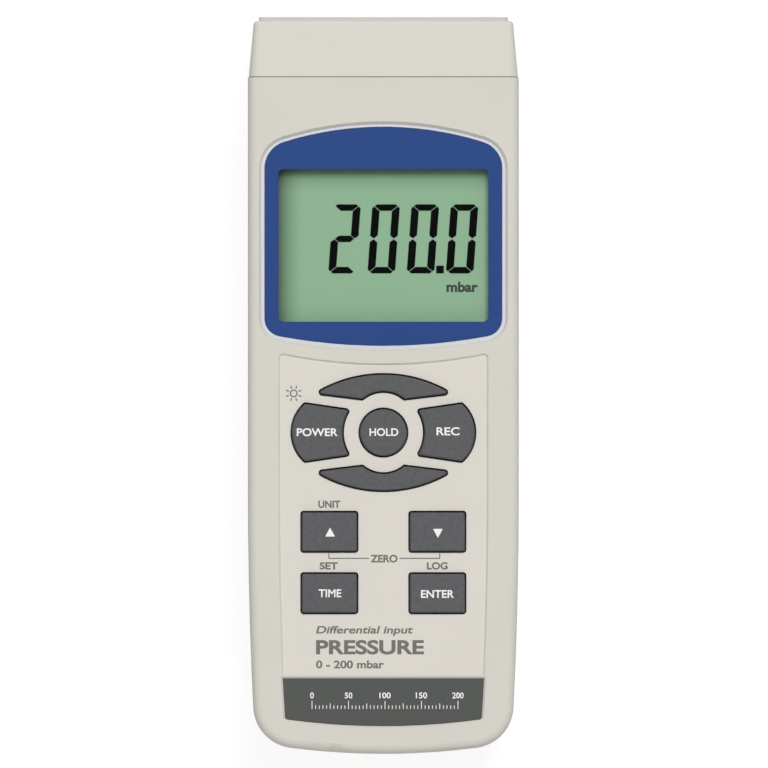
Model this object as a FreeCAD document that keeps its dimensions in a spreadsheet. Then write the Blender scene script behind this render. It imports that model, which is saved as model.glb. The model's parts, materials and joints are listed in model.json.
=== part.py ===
"""A handheld digital manometer, lying on its back with its face up, in millimetres.

X runs across the meter, Y towards the end with the two hose spigots and Z up through its face.
The origin is under the middle of the meter, on the plane that its back rests on.
"""

import FreeCAD, Part
import math
import os
import re

import Sketcher
from FreeCAD import Vector

# Driving dimensions

SIZES = {
    # Casing
    "case_length": 203.0,  # over the port plate
    "case_width": 74.6,
    "case_depth": 38.0,
    "seam_height": 19.0,  # where the two shells meet
    "wall": 2.2,
    "face_wall": 3.0,  # the front shell's face
    "edge_radius": 2.6,
    "seam_edge": 0.35,  # bevel along the joint between the shells
    "corner_radius": 11.8,
    "end_bow": 200.0,  # radius of the curved bottom end
    "side_bow": 1200.0,  # radius of the sides below the waist
    "waist_drop": 30.0,  # the sides draw in this far below the middle
    "lip_height": 1.2,
    "lip_width": 1.0,
    "fit_gap": 0.15,
    # End cap and pressure ports
    "cap_length": 15.7,
    "cap_end_width": 71.4,
    "cap_step": 0.2,  # the cap stands back from the shells
    "cap_corner": 3.0,
    "cap_end_wall": 3.0,
    "cap_edge_radius": 1.1,
    "cap_seam_edge": 0.3,  # bevel where the cap meets the shells
    "skirt_length": 3.5,
    "skirt_wall": 1.4,
    "plate_width": 68.6,
    "plate_depth": 30.0,
    "plate_rise": 1.1,
    "plate_sunk": 0.9,
    "plate_screw_spacing": 58.0,
    "plate_screw_sunk": 1.2,
    "plate_screw_head": 1.1,
    "plate_screw_length": 6.5,
    "plate_boss_length": 6.0,
    "plate_bore_depth": 7.0,
    "plate_corner": 1.2,
    "port_spacing": 30.0,
    "well_radius": 7.5,
    "well_depth": 10.0,
    "cup_wall": 1.4,
    "cup_floor": 2.0,
    "spigot_radius": 2.3,
    "spigot_bore": 1.0,
    "spigot_tip": 0.8,  # height of the cone at the tip
    "spigot_recess": 0.6,  # the tip lies this far inside the plate
    "flange_radius": 4.0,
    "flange_height": 1.6,
    "seal_height": 0.8,
    "stud_radius": 2.0,
    "nut_width": 7.0,
    "nut_height": 2.2,
    "tail_radius": 1.25,
    "tail_length": 6.0,
    # Display
    "display_centre": 38.5,
    "window_width": 57.8,
    "window_length": 42.0,
    "window_corner": 1.5,
    "bezel_width": 65.2,
    "bezel_rise": 32.5,  # from the window's middle to the bezel's crown
    "bezel_drop": 27.5,
    "crown_bow": 92.0,
    "foot_bow": 157.0,
    "bezel_top_corner": 7.5,
    "bezel_foot_corner": 4.9,
    "bezel_thickness": 1.2,
    "bezel_proud": 0.2,
    "rim_width": 1.05,
    "rim_depth": 0.9,
    "rim_edge": 0.6,  # bevel round the display's rim
    "lens_margin": 2.0,
    "lens_thickness": 1.2,
    "glass_margin": 1.4,
    "glass_thickness": 2.0,
    "backlight_thickness": 2.9,
    "backlight_margin": 2.0,
    "strip_width": 2.2,
    "strip_gap": 1.0,  # between a strip and the backlight
    "frame_wall": 2.2,
    "frame_opening_gap": 0.25,
    "digit_height": 19.0,
    "digit_width": 7.6,
    "digit_pitch": 10.8,
    "digit_stroke": 2.1,
    "digit_bar": 1.75,
    "digit_lean": 0.073,
    "digit_gap": 0.13,
    "digit_corner": 0.55,  # cut from a figure's outer corners
    "point_size": 2.1,
    "digit_film": 0.08,
    "digit_foot": 7.65,  # below the window's middle
    "digit_right": 24.8,  # the last digit's foot, right of the middle
    # Keypad
    "panel_inset": 8.9,
    "panel_gap": 4.42,
    "panel_bow": 139.0,
    "panel_foot": 22.1,  # above the bottom end
    "panel_depth": 0.8,
    "panel_corner": 0.8,
    "panel_edge": 0.5,  # bevel round the sunk panel and the band
    "overlay_thickness": 0.3,
    "band_gap": 1.2,
    "band_inset": 7.7,
    "band_margin": 8.5,
    "band_taper": 1.75,  # the band's lower end is narrower on each side
    "cluster_drop": 13.0,  # the round key, below the middle
    "hold_radius": 6.9,
    "crescent_crown": 16.4,
    "crescent_bow": 36.2,
    "crescent_span": 39.7,
    "crescent_tip": 1.0,
    "notch_width": 11.2,
    "notch_bow": 8.4,
    "notch_crown": 10.9,
    "side_key_reach": 25.6,
    "side_key_bow": 11.0,
    "side_key_length": 16.8,
    "side_key_inner": 10.85,
    "side_key_neck": 13.0,
    "key_corner": 0.9,
    "square_key_width": 16.0,
    "square_key_length": 11.6,
    "square_key_spacing": 29.7,
    "upper_row_drop": 40.3,
    "lower_row_drop": 57.2,
    "key_gap": 0.5,
    "key_rise": 0.6,  # above the casing's face
    "key_edge": 0.35,
    "key_travel": 1.1,
    "key_flange": 0.9,
    "key_flange_height": 1.2,
    "plunger_radius": 2.4,
    "plunger_gap": 0.3,
    "crescent_plunger": 13.6,  # from the round key's middle
    "side_plunger": 17.6,  # from the round key's middle
    "pill_thickness": 0.5,
    "pill_radius": 2.0,
    "pill_clearance": 0.1,
    "mat_thickness": 1.2,
    "mat_width": 54.0,
    "mat_margin": 3.0,
    # Circuit board and what it carries
    "board_level": 29.6,  # the board's upper face
    "board_thickness": 1.6,
    "board_width": 65.4,
    "board_top": 72.0,
    "board_bottom": 87.5,
    "boss_radius": 2.6,
    "boss_bore_depth": 4.2,
    "screw_radius": 1.0,
    "screw_clearance": 0.15,
    "screw_head_radius": 2.0,
    "screw_head_height": 1.4,
    "board_screw_length": 5.4,
    "upper_screw_spacing": 58.0,
    "upper_screw_place": 68.6,
    "middle_screw_spacing": 60.8,
    "middle_screw_place": 5.0,
    "lower_screw_spacing": 58.0,
    "lower_screw_place": 84.0,  # below the middle
    "thread_gap": 0.05,
    "sensor_width": 38.0,
    "sensor_length": 14.0,
    "sensor_height": 14.0,
    "sensor_place": 45.0,
    "nipple_length": 6.0,
    "hose_radius": 2.2,
    "hose_bore": 1.3,
    "chip_height": 1.6,
    "buzzer_radius": 6.0,
    "buzzer_height": 4.5,
    "buzzer_place": 62.0,
    "socket_gap": 0.2,  # between a socket and the casing's wall
    "card_socket_width": 26.0,
    "card_socket_depth": 28.0,
    "card_socket_height": 2.9,
    "card_slot_width": 24.4,
    "card_slot_height": 2.3,
    "card_place": 34.0,  # below the middle
    "serial_place": 8.0,  # below the middle
    "serial_width": 6.5,
    "serial_depth": 12.0,
    "serial_height": 6.0,
    "serial_nose": 2.9,
    "serial_bore": 1.8,
    "power_place": 17.0,  # above the middle
    "power_width": 9.0,
    "power_depth": 14.0,
    "power_height": 7.6,
    "power_nose": 3.4,
    "power_bore": 2.9,
    "power_pin": 1.0,
    "nose_length": 1.8,
    # Batteries
    "cell_radius": 7.05,
    "cell_length": 49.5,
    "cell_nub_radius": 2.6,
    "cell_nub_height": 1.0,
    "cell_pitch": 14.5,
    "cell_count": 6,
    "cell_clearance": 0.3,
    "bay_width": 55.6,
    "bay_centre": 43.5,  # below the middle
    "bay_wall": 1.6,
    "contact_thickness": 0.4,
    "contact_width": 8.0,
    "cover_width": 60.0,
    "cover_bottom": 89.0,
    "cover_top": 6.0,
    "cover_thickness": 2.0,
    "cover_corner": 3.0,
    "ledge_margin": 1.8,
    "ledge_height": 1.9,
    "cover_tab_spacing": 24.0,
    "cover_tab_width": 8.0,
    "cover_tab_reach": 2.0,
    "cover_tab_height": 1.2,
    "cover_screw_sunk": 1.2,
    "cover_screw_head": 1.1,
    "cover_screw_length": 6.0,
    "cover_boss_height": 8.5,
    "cover_bore_depth": 6.5,
    "cover_screw_spacing": 40.0,
    "cover_screw_place": 3.2,
    "grip_count": 4,
    "grip_length": 16.0,
    "grip_pitch": 2.2,
    "grip_groove": 1.1,
    "grip_depth": 0.5,
    "grip_place": 4.0,  # from the cover's upper end to the first groove
    # Casing screws, tripod insert and stand
    "case_screw_radius": 1.2,
    "case_screw_head": 2.3,
    "case_screw_seat": 12.0,
    "case_screw_head_height": 1.8,
    "case_screw_length": 14.0,
    "column_bore_depth": 8.0,
    "column_radius": 3.2,
    "top_screw_spacing": 62.0,
    "top_screw_place": 76.8,
    "foot_screw_spacing": 44.0,
    "foot_screw_place": 94.0,
    "insert_radius": 4.5,
    "insert_bore": 2.6,
    "insert_length": 8.0,
    "insert_sunk": 0.2,
    "insert_place": 15.5,
    "insert_wall": 2.4,
    "stand_width": 43.4,
    "stand_length": 47.0,
    "stand_thickness": 2.6,
    "stand_corner": 4.0,
    "stand_rail": 6.5,  # the stand's sides, beside its hollow
    "stand_foot_rail": 8.0,
    "stand_head_rail": 13.0,
    "stand_hollow_depth": 1.0,
    "stand_recess_depth": 4.5,
    "stand_wall": 3.2,
    "finger_radius": 5.0,
    "stand_gap": 0.3,
    "stand_sunk": 0.5,  # the folded stand lies this far inside the back
    "hinge_place": 74.8,
    "hinge_level": 2.3,
    "hinge_radius": 1.9,
    "trunnion_radius": 1.2,
    "trunnion_length": 1.8,
    "trunnion_gap": 0.06,
}

document = FreeCAD.newDocument("digital_manometer")
sheet = document.addObject("Spreadsheet::Sheet", "Sizes")
for row, (alias, number) in enumerate(SIZES.items(), 1):
    sheet.set(f"A{row}", alias)
    sheet.set(f"B{row}", str(number))
    sheet.setAlias(f"B{row}", alias)
document.recompute()

nodes = []  # every finished sub-part, in the order in which it is made


# Formulas and places

CAP_END = "(case_length/2 - plate_rise)"
CAP_SEAM = "(case_length/2 - plate_rise - cap_length)"
BOTTOM = "(-case_length/2)"
FACE_INSIDE = "(case_depth - face_wall)"
RIM_FLOOR = "(case_depth - rim_depth)"
BEZEL_TOP = f"({RIM_FLOOR} + bezel_proud)"
LENS_TOP = f"({BEZEL_TOP} - bezel_thickness)"
LENS_FOOT = f"({LENS_TOP} - lens_thickness)"
PANEL_FLOOR = "(case_depth - panel_depth)"
PANEL_FOOT = f"({BOTTOM} + panel_foot)"
BAND_TOP = f"({PANEL_FOOT} - band_gap)"
BOARD_FOOT = "(board_level - board_thickness)"
GLASS_FOOT = "(board_level + backlight_thickness)"
GLASS_TOP = f"({GLASS_FOOT} + glass_thickness)"
PORT_LEVEL = "(case_depth/2)"
WELL_FLOOR = "(case_length/2 - well_depth)"
CUP_FOOT = f"({WELL_FLOOR} - cup_floor)"
KEY_TOP = "(case_depth + key_rise)"
FLANGE_FOOT = f"({FACE_INSIDE} - key_flange_height)"
PILL_FOOT = "(board_level + key_travel + pill_clearance)"
PILL_TOP = f"({PILL_FOOT} + pill_thickness)"
CELL_LEVEL = "(cover_thickness + cell_radius)"
BAY_CEILING = f"({CELL_LEVEL} + cell_radius + cell_clearance)"
BAY_ROOF = f"({BAY_CEILING} + bay_wall)"
BAY_LENGTH = "(cell_pitch * cell_count + 2*cell_clearance)"


def formula(text):
    """A size formula as an expression on the sheet's cells."""
    return re.sub(
        r"[a-z][a-z_]+",
        lambda word: f"Sizes.{word[0]}" if word[0] in SIZES else word[0],
        text,
    )


def size(text):
    """The value of a size formula."""
    return float(sheet.evalExpression(formula(text)))


def bind(thing, **formulas):
    """Ties properties of an object to size formulas. A double underscore stands for a dot."""
    for name, text in formulas.items():
        thing.setExpression(name.replace("__", "."), formula(text))
    return thing


def finished(thing, label=None):
    """Takes an object as a finished sub-part."""
    thing.Label = label or thing.Name
    nodes.append(thing)
    return thing


# Outlines in the plane


def unit(vector):
    return vector * (1 / vector.Length)


def turned(vector):
    """The vector, a quarter turn to the left."""
    return Vector(-vector.y, vector.x, 0)


class Span:
    """One side of an outline, a straight line or an arc that bows out (+1) or in (-1)."""

    def __init__(self, start, end, bow=None, way=0):
        self.start, self.end, self.bow, self.way = start, end, bow, way
        self.radius = size(bow) if bow else 0
        if bow:
            chord = end - start
            rise = math.sqrt(self.radius**2 - chord.Length**2 / 4)
            self.centre = (start + end) * 0.5 + turned(unit(chord)) * rise * way

    def direction(self, point):
        """The way the outline runs at one of its points."""
        if self.bow:
            return turned(unit(point - self.centre)) * self.way
        return unit(self.end - self.start)

    def nearest(self, point):
        if self.bow:
            return self.centre + unit(point - self.centre) * self.radius
        along = unit(self.end - self.start)
        return self.start + along * (point - self.start).dot(along)

    def geometry(self):
        if not self.bow:
            return Part.LineSegment(self.start, self.end)
        ends = [self.start, self.end][:: self.way]
        angles = [math.atan2(p.y - self.centre.y, p.x - self.centre.x) for p in ends]
        circle = Part.Circle(self.centre, Vector(0, 0, 1), self.radius)
        return Part.ArcOfCircle(circle, *angles)

    def start_point(self):
        """The number that a sketch gives to the end where the span starts."""
        return 2 if self.way < 0 else 1

    def end_point(self):
        return 1 if self.way < 0 else 2


def rounding_centre(before, after, corner, radius):
    """The middle of the arc that rounds a corner, found by stepping onto both sides' offsets."""
    way_in, way_out = before.direction(corner), after.direction(corner)
    side = 1 if way_in.cross(way_out).z > 0 else -1
    half = way_in.getAngle(way_out) / 2
    inward = unit(turned(way_in + way_out)) * side
    centre = corner + inward * (radius / math.cos(half))
    for _ in range(60):
        for span in (before, after):
            foot = span.nearest(centre)
            centre = foot + turned(span.direction(foot)) * side * radius
    return centre, side


class Drawing:
    """A sketch whose dimensions are tied to size formulas."""

    ORIGIN = (-1, 1)
    NORMALS = {"XY_Plane": 1, "XZ_Plane": -1, "YZ_Plane": 1}

    def __init__(self, body, name, level="0", plane="XY_Plane", shift=("0", "0")):
        self.rules = []
        if body is None:
            self.sketch = document.addObject("Sketcher::SketchObject", name)
            bind(self.sketch, Placement__Base__z=level)
            return
        self.sketch = body.newObject("Sketcher::SketchObject", name)
        base = next(f for f in body.Origin.OriginFeatures if f.Role == plane)
        self.sketch.AttachmentSupport = [(base, "")]
        self.sketch.MapMode = "FlatFace"
        bind(
            self.sketch,
            AttachmentOffset__Base__x=shift[0],
            AttachmentOffset__Base__y=shift[1],
            AttachmentOffset__Base__z=f"{self.NORMALS[plane]} * ({level})",
        )

    def rule(self, kind, *places, measure=None):
        number = () if measure is None else (size(measure),)
        self.rules.append((Sketcher.Constraint(kind, *places, *number), measure))

    def place(self, item, point, x, y):
        """Dimensions a point from the sketch's origin."""
        self.rule("DistanceX", *self.ORIGIN, item, point, measure=x)
        self.rule("DistanceY", *self.ORIGIN, item, point, measure=y)

    def circle(self, x, y, radius):
        shape = Part.Circle(Vector(size(x), size(y), 0), Vector(0, 0, 1), size(radius))
        item = self.sketch.addGeometry(shape, False)
        self.place(item, 3, x, y)
        self.rule("Radius", item, measure=radius)
        return self

    def outline(self, corners):
        """A closed outline, anticlockwise, from corners (x, y, rounding, bow, way).

        The bow is the radius of the side that leads on to the next corner.
        """
        corners = [filled(corner) for corner in corners]
        points = [Vector(size(x), size(y), 0) for x, y, *_ in corners]
        spans = [
            Span(points[i], points[(i + 1) % len(points)], bow, way)
            for i, (_, _, _, bow, way) in enumerate(corners)
        ]
        arcs = [self.round_corner(spans, i, corners[i][2]) for i in range(len(spans))]
        items = [self.sketch.addGeometry(span.geometry(), False) for span in spans]
        for i, (x, y, rounding, _, _) in enumerate(corners):
            before, after = spans[i - 1], spans[i]
            last, here = items[i - 1], items[i]
            if after.bow:
                self.rule("Radius", here, measure=after.bow)
            if not rounding:
                self.rule(
                    "Coincident", last, before.end_point(), here, after.start_point()
                )
                self.place(here, after.start_point(), x, y)
                continue
            arc, side = arcs[i]
            item = self.sketch.addGeometry(arc, False)
            mark = self.sketch.addGeometry(Part.Point(points[i]), True)
            self.rule("Radius", item, measure=rounding)
            self.place(mark, 1, x, y)
            self.rule("PointOnObject", mark, 1, last)
            self.rule("PointOnObject", mark, 1, here)
            first, second = (1, 2) if side > 0 else (2, 1)
            self.rule("Tangent", last, before.end_point(), item, first)
            self.rule("Tangent", item, second, here, after.start_point())
        return self

    def round_corner(self, spans, i, rounding):
        """Shortens the two sides at a corner to make room for its arc."""
        if not rounding:
            return None
        before, after = spans[i - 1], spans[i]
        radius = size(rounding)
        centre, side = rounding_centre(before, after, after.start, radius)
        before.end = before.nearest(centre)
        after.start = after.nearest(centre)
        ends = [before.end, after.start][::side]
        angles = [math.atan2(p.y - centre.y, p.x - centre.x) for p in ends]
        circle = Part.Circle(centre, Vector(0, 0, 1), radius)
        return Part.ArcOfCircle(circle, *angles), side

    def box(self, left, bottom, right, top, rounding=None):
        corners = [(left, bottom), (right, bottom), (right, top), (left, top)]
        return self.outline([(x, y, rounding) for x, y in corners])

    def block(self, width, length, middle=("0", "0"), rounding=None):
        """A rectangle from its width, its length and its middle."""
        x, y = middle
        return self.box(
            f"{x} - ({width})/2",
            f"{y} - ({length})/2",
            f"{x} + ({width})/2",
            f"{y} + ({length})/2",
            rounding,
        )

    def circles(self, places, radius):
        for x, y in places:
            self.circle(x, y, radius)
        return self

    def done(self):
        self.sketch.addConstraint([constraint for constraint, _ in self.rules])
        for number, (_, measure) in enumerate(self.rules):
            if measure is not None:
                self.sketch.setExpression(f"Constraints[{number}]", formula(measure))
        return self.sketch


def filled(corner):
    """A corner with its rounding, bow and way, where they were left out."""
    return (*corner, *(None, None, 0)[len(corner) - 2 :])


def mirrored(right_side, foot=(None, 0)):
    """A full outline from its right half, which starts at the bottom.

    The foot is the bow and way of the side across the bottom.
    """
    right_side = [filled(corner) for corner in right_side]
    left_side = []
    for i, (x, y, rounding, _, _) in reversed(list(enumerate(right_side))):
        bow, way = right_side[i - 1][3:] if i else foot
        left_side.append((f"-({x})", y, rounding, bow, way))
    return right_side + left_side


# Solid features


def new_body(name):
    return document.addObject("PartDesign::Body", name)


def pad(drawing, length, back=False):
    """Fills a drawing along its normal, or backwards."""
    sketch = drawing.done()
    feature = sketch.getParentGeoFeatureGroup().newObject("PartDesign::Pad", f"{sketch.Name}_pad")
    feature.Profile = sketch
    feature.Reversed = back
    return bind(feature, Length=length)


def pocket(drawing, depth, back=True):
    """Cuts a drawing against its normal, or along it."""
    sketch = drawing.done()
    feature = sketch.getParentGeoFeatureGroup().newObject("PartDesign::Pocket", f"{sketch.Name}_cut")
    feature.Profile = sketch
    feature.Reversed = not back
    return bind(feature, Length=depth)


def edges_of(feature, wanted):
    document.recompute()
    return [
        f"Edge{i}" for i, edge in enumerate(feature.Shape.Edges, 1) if wanted(edge)
    ]


def level_edge(level, allowed=lambda edge: True, axis="z"):
    """A test for edges that lie in one plane across an axis."""
    height = size(level)

    def wanted(edge):
        box = edge.BoundBox
        low, high = getattr(box, axis.upper() + "Min"), getattr(box, axis.upper() + "Max")
        return abs(low - height) < 1e-4 and abs(high - height) < 1e-4 and allowed(edge)

    return wanted


def fillet(base, wanted, radius):
    feature = base.getParentGeoFeatureGroup().newObject("PartDesign::Fillet", f"{base.Name}_round")
    feature.Base = (base, edges_of(base, wanted))
    return bind(feature, Radius=radius)


def chamfer(base, wanted, width):
    feature = base.getParentGeoFeatureGroup().newObject("PartDesign::Chamfer", f"{base.Name}_bevel")
    feature.Base = (base, edges_of(base, wanted))
    return bind(feature, Size=width)


def recess(drawing, depth, level, bevel):
    """A pocket in the face, with its upper edge bevelled."""
    cut = pocket(drawing, depth)
    document.recompute()
    outline = drawing.sketch.Shape.BoundBox
    outline.enlarge(1e-3)
    return chamfer(cut, level_edge(level, lambda edge: outline.isInside(edge.BoundBox)), bevel)


def revolve(drawing, axis="V_Axis"):
    sketch = drawing.done()
    feature = sketch.getParentGeoFeatureGroup().newObject("PartDesign::Revolution", f"{sketch.Name}_turned")
    feature.Profile = sketch
    feature.ReferenceAxis = (sketch, [axis])
    feature.Angle = 360
    return feature


def cylinder(name, middle, radius, height):
    """An upright cylinder from its foot."""
    thing = document.addObject("Part::Cylinder", name)
    x, y, z = middle
    return bind(
        thing,
        Radius=radius,
        Height=height,
        Placement__Base__x=x,
        Placement__Base__y=y,
        Placement__Base__z=z,
    )


# The casing's outline


def half_width_at(y, inset):
    """The half width of the casing at a height below its waist, less an inset."""
    fall = f"(({y}) + waist_drop)"
    return f"(case_width/2 - side_bow + sqrt((side_bow - {inset})^2 - {fall}^2))"


def end_corner(inset):
    """Where the bowed side would meet the bowed end, as formulas for x and y."""
    across = "(side_bow - case_width/2)"
    along = "(end_bow + waist_drop - case_length/2)"
    apart = f"sqrt({across}^2 + {along}^2)"
    side, end = f"(side_bow - {inset})", f"(end_bow - {inset})"
    reach = f"(({side}^2 - {end}^2 + {apart}^2) / (2*{apart}))"
    swing = f"sqrt({side}^2 - {reach}^2)"
    x = f"(case_width/2 - side_bow + ({reach}*{across} + {swing}*{along}) / {apart})"
    y = f"(-waist_drop + ({reach}*{along} - {swing}*{across}) / {apart})"
    return x, y


def draw_case(drawing, inset, top):
    """The casing's outline in plan, drawn in by an inset and ending straight at the top."""
    x, y = end_corner(inset)
    waist = (f"case_width/2 - {inset}", "-waist_drop")
    rounding = f"corner_radius - {inset}"
    right = [
        (x, y, rounding, f"side_bow - {inset}", 1),
        waist,
        (f"case_width/2 - {inset}", top),
    ]
    return drawing.outline(mirrored(right, (f"end_bow - {inset}", 1)))


def column_places():
    """The casing screws, as formulas for x and y."""
    return [
        (f"{side}*{spacing}/2", place)
        for spacing, place in (
            ("top_screw_spacing", "top_screw_place"),
            ("foot_screw_spacing", "-foot_screw_place"),
        )
        for side in ("-1", "1")
    ]


def board_screw_places():
    """The board's screws, above the display, below it and at the board's foot."""
    return [
        (f"{side}*{spacing}/2", place)
        for spacing, place in (
            ("upper_screw_spacing", "upper_screw_place"),
            ("middle_screw_spacing", "middle_screw_place"),
            ("lower_screw_spacing", "-lower_screw_place"),
        )
        for side in ("-1", "1")
    ]


# Outlines on the face


def draw_bezel(drawing, inset):
    """The display surround: a bowed crown and foot between straight sides."""
    half = f"(bezel_width/2 - {inset})"
    crown = f"(crown_bow - {inset})"
    foot = f"(foot_bow - {inset})"
    top = f"(display_centre + bezel_rise - crown_bow + sqrt({crown}^2 - {half}^2))"
    bottom = f"(display_centre - bezel_drop + foot_bow - sqrt({foot}^2 - {half}^2))"
    right = [
        (half, bottom, f"bezel_foot_corner - {inset}"),
        (half, top, f"bezel_top_corner - {inset}", crown, 1),
    ]
    return drawing.outline(mirrored(right, (foot, 1)))


def draw_panel(drawing, inset):
    """The sunk keypad panel: its top follows the display and its sides the casing."""
    margin = f"(panel_inset + {inset})"
    bottom = f"({PANEL_FOOT} + {inset})"
    half = f"(case_width/2 - {margin})"
    crest = f"(display_centre - bezel_drop - rim_width - panel_gap - {inset})"
    bow = f"(panel_bow + {inset})"
    top = f"({crest} + {bow} - sqrt({bow}^2 - {half}^2))"
    right = [
        (half_width_at(bottom, margin), bottom, None, f"side_bow - {margin}", 1),
        (half, "-waist_drop"),
        (half, top, "panel_corner", bow, -1),
    ]
    return drawing.outline(mirrored(right))


def draw_band(drawing, inset):
    """The name band's recess, between the panel and the curved end."""
    margin = f"(band_margin + {inset})"
    top = f"({BAND_TOP} - {inset})"
    bow = f"(end_bow - band_inset - {inset})"
    half = f"(case_width/2 - {margin} - band_taper)"
    bottom = f"({BOTTOM} + end_bow - sqrt({bow}^2 - {half}^2))"
    right = [(half, bottom, "panel_corner"), (half_width_at(top, margin), top)]
    return drawing.outline(mirrored(right, (bow, 1)))


def draw_round_key(drawing):
    return drawing.circle("0", "-cluster_drop", "hold_radius")


def draw_crescent(drawing, way):
    """A crescent key above (1) or below (-1) the round one."""
    tip = "(crescent_crown - crescent_bow + sqrt(crescent_bow^2 - crescent_span^2/4))"
    notch = "(notch_crown - notch_bow + sqrt(notch_bow^2 - notch_width^2/4))"
    ends = [
        ("notch_width/2", notch, "key_corner"),
        ("crescent_span/2", tip, "crescent_tip", "crescent_bow", 1),
        ("-crescent_span/2", tip, "crescent_tip"),
        ("-notch_width/2", notch, "key_corner", "notch_bow", -1),
    ]
    return drawing.outline(
        [(f"{way}*({x})", f"({way}*{y} - cluster_drop)", *rest) for x, y, *rest in ends]
    )


def draw_side_key(drawing, way):
    """The key to the right (1) or left (-1) of the round one."""
    rise = "side_key_length/2"
    outer = f"(side_key_reach - side_key_bow + sqrt(side_key_bow^2 - ({rise})^2))"
    inner = "sqrt(side_key_inner^2 - side_key_neck^2/4)"
    corners = [
        (inner, "-side_key_neck/2", "key_corner"),
        (outer, f"-{rise}", "key_corner", "side_key_bow", 1),
        (outer, rise, "key_corner"),
        (inner, "side_key_neck/2", "key_corner", "side_key_inner", -1),
    ]
    return drawing.outline(
        [(f"{way}*{x}", f"({way}*({y}) - cluster_drop)", *rest) for x, y, *rest in corners]
    )


def draw_square_key(drawing, way, drop):
    middle = f"{way}*square_key_spacing/2"
    width, length = "square_key_width/2", "square_key_length/2"
    return drawing.box(
        f"{middle} - {width}",
        f"-{drop} - {length}",
        f"{middle} + {width}",
        f"-{drop} + {length}",
        "key_corner",
    )


# Each key: how its hole is drawn, and where its plunger stands
KEYS = {
    "key_hold": (draw_round_key, (), "0", "-cluster_drop"),
    "key_crescent_upper": (draw_crescent, (1,), "0", "-cluster_drop + crescent_plunger"),
    "key_crescent_lower": (draw_crescent, (-1,), "0", "-cluster_drop - crescent_plunger"),
    "key_power": (draw_side_key, (-1,), "-side_plunger", "-cluster_drop"),
    "key_record": (draw_side_key, (1,), "side_plunger", "-cluster_drop"),
    "key_up": (
        draw_square_key,
        (-1, "upper_row_drop"),
        "-square_key_spacing/2",
        "-upper_row_drop",
    ),
    "key_down": (
        draw_square_key,
        (1, "upper_row_drop"),
        "square_key_spacing/2",
        "-upper_row_drop",
    ),
    "key_time": (
        draw_square_key,
        (-1, "lower_row_drop"),
        "-square_key_spacing/2",
        "-lower_row_drop",
    ),
    "key_enter": (
        draw_square_key,
        (1, "lower_row_drop"),
        "square_key_spacing/2",
        "-lower_row_drop",
    ),
}


def cut_key_openings(body, level, depth):
    """An opening for each key, in a body's wall below a level."""
    for name, (draw, options, _, _) in KEYS.items():
        pocket(draw(Drawing(body, f"{body.Name}_{name}", level), *options), depth)


# Front shell

PORTS = (("high", "port_spacing/2"), ("low", "-port_spacing/2"))
LENS_WIDTH = "(window_width + 2*lens_margin)"
LENS_LENGTH = "(window_length + 2*lens_margin)"
GLASS_WIDTH = "(window_width + 2*glass_margin)"
GLASS_LENGTH = "(window_length + 2*glass_margin)"
DISPLAY_PLACE = ("0", "display_centre")
SOCKET_FACE = "(case_width/2 - wall - socket_gap)"
SERIAL_LEVEL = f"({BOARD_FOOT} - serial_height/2)"
POWER_LEVEL = f"({BOARD_FOOT} - power_height/2)"
CARD_LEVEL = f"({BOARD_FOOT} - card_socket_height/2)"


def casing_edge(edge):
    """Leaves out the straight edges along the joint with the end cap."""
    return edge.BoundBox.YMin < size(CAP_SEAM) - 1e-3


front = new_body("front_shell")
outer = pad(draw_case(Drawing(front, "front_outer", "seam_height"), "0", CAP_SEAM),
            "case_depth - seam_height")
outer = fillet(outer, level_edge("case_depth", casing_edge), "edge_radius")
chamfer(outer, level_edge("seam_height", casing_edge), "seam_edge")
pocket(draw_case(Drawing(front, "front_hollow", "seam_height"), "wall", CAP_SEAM),
       f"{FACE_INSIDE} - seam_height", back=False)
pocket(draw_case(Drawing(front, "front_rebate", "seam_height"), "(wall - lip_width)", CAP_SEAM),
       "lip_height + fit_gap", back=False)
pad(Drawing(front, "board_bosses", "board_level").circles(board_screw_places(), "boss_radius"),
    f"{FACE_INSIDE} - board_level")
pad(Drawing(front, "front_columns", "seam_height").circles(column_places(), "column_radius"),
    f"{FACE_INSIDE} - seam_height")
recess(draw_bezel(Drawing(front, "display_rim", "case_depth"), "-rim_width"), "rim_depth",
       "case_depth", "rim_edge")
pocket(draw_bezel(Drawing(front, "bezel_seat", RIM_FLOOR), "-fit_gap"), f"{RIM_FLOOR} - {LENS_TOP}")
pocket(Drawing(front, "lens_hole", LENS_TOP).block(
    f"{LENS_WIDTH} + 2*fit_gap", f"{LENS_LENGTH} + 2*fit_gap", DISPLAY_PLACE, "window_corner"),
    f"{LENS_TOP} - {FACE_INSIDE}")
recess(draw_panel(Drawing(front, "panel_recess", "case_depth"), "0"), "panel_depth",
       "case_depth", "panel_edge")
recess(draw_band(Drawing(front, "band_recess", "case_depth"), "0"), "panel_depth",
       "case_depth", "panel_edge")
cut_key_openings(front, PANEL_FLOOR, f"{PANEL_FLOOR} - {FACE_INSIDE}")
pocket(Drawing(front, "boss_bores", "board_level").circles(
    board_screw_places(), "screw_radius + screw_clearance/3"), "boss_bore_depth", back=False)
pocket(Drawing(front, "column_bores", "seam_height").circles(
    column_places(), "case_screw_radius + screw_clearance/3"), "column_bore_depth", back=False)
side = Drawing(front, "socket_holes", "case_width/2 + wall", "YZ_Plane")
side.circle("-serial_place", SERIAL_LEVEL, "serial_nose + fit_gap")
side.circle("power_place", POWER_LEVEL, "power_nose + fit_gap")
side.block("card_slot_width + 2*fit_gap", "card_slot_height + 2*fit_gap",
           ("-card_place", CARD_LEVEL), "card_slot_height/3")
pocket(side, "3*wall")
finished(front)

# Rear shell

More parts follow.
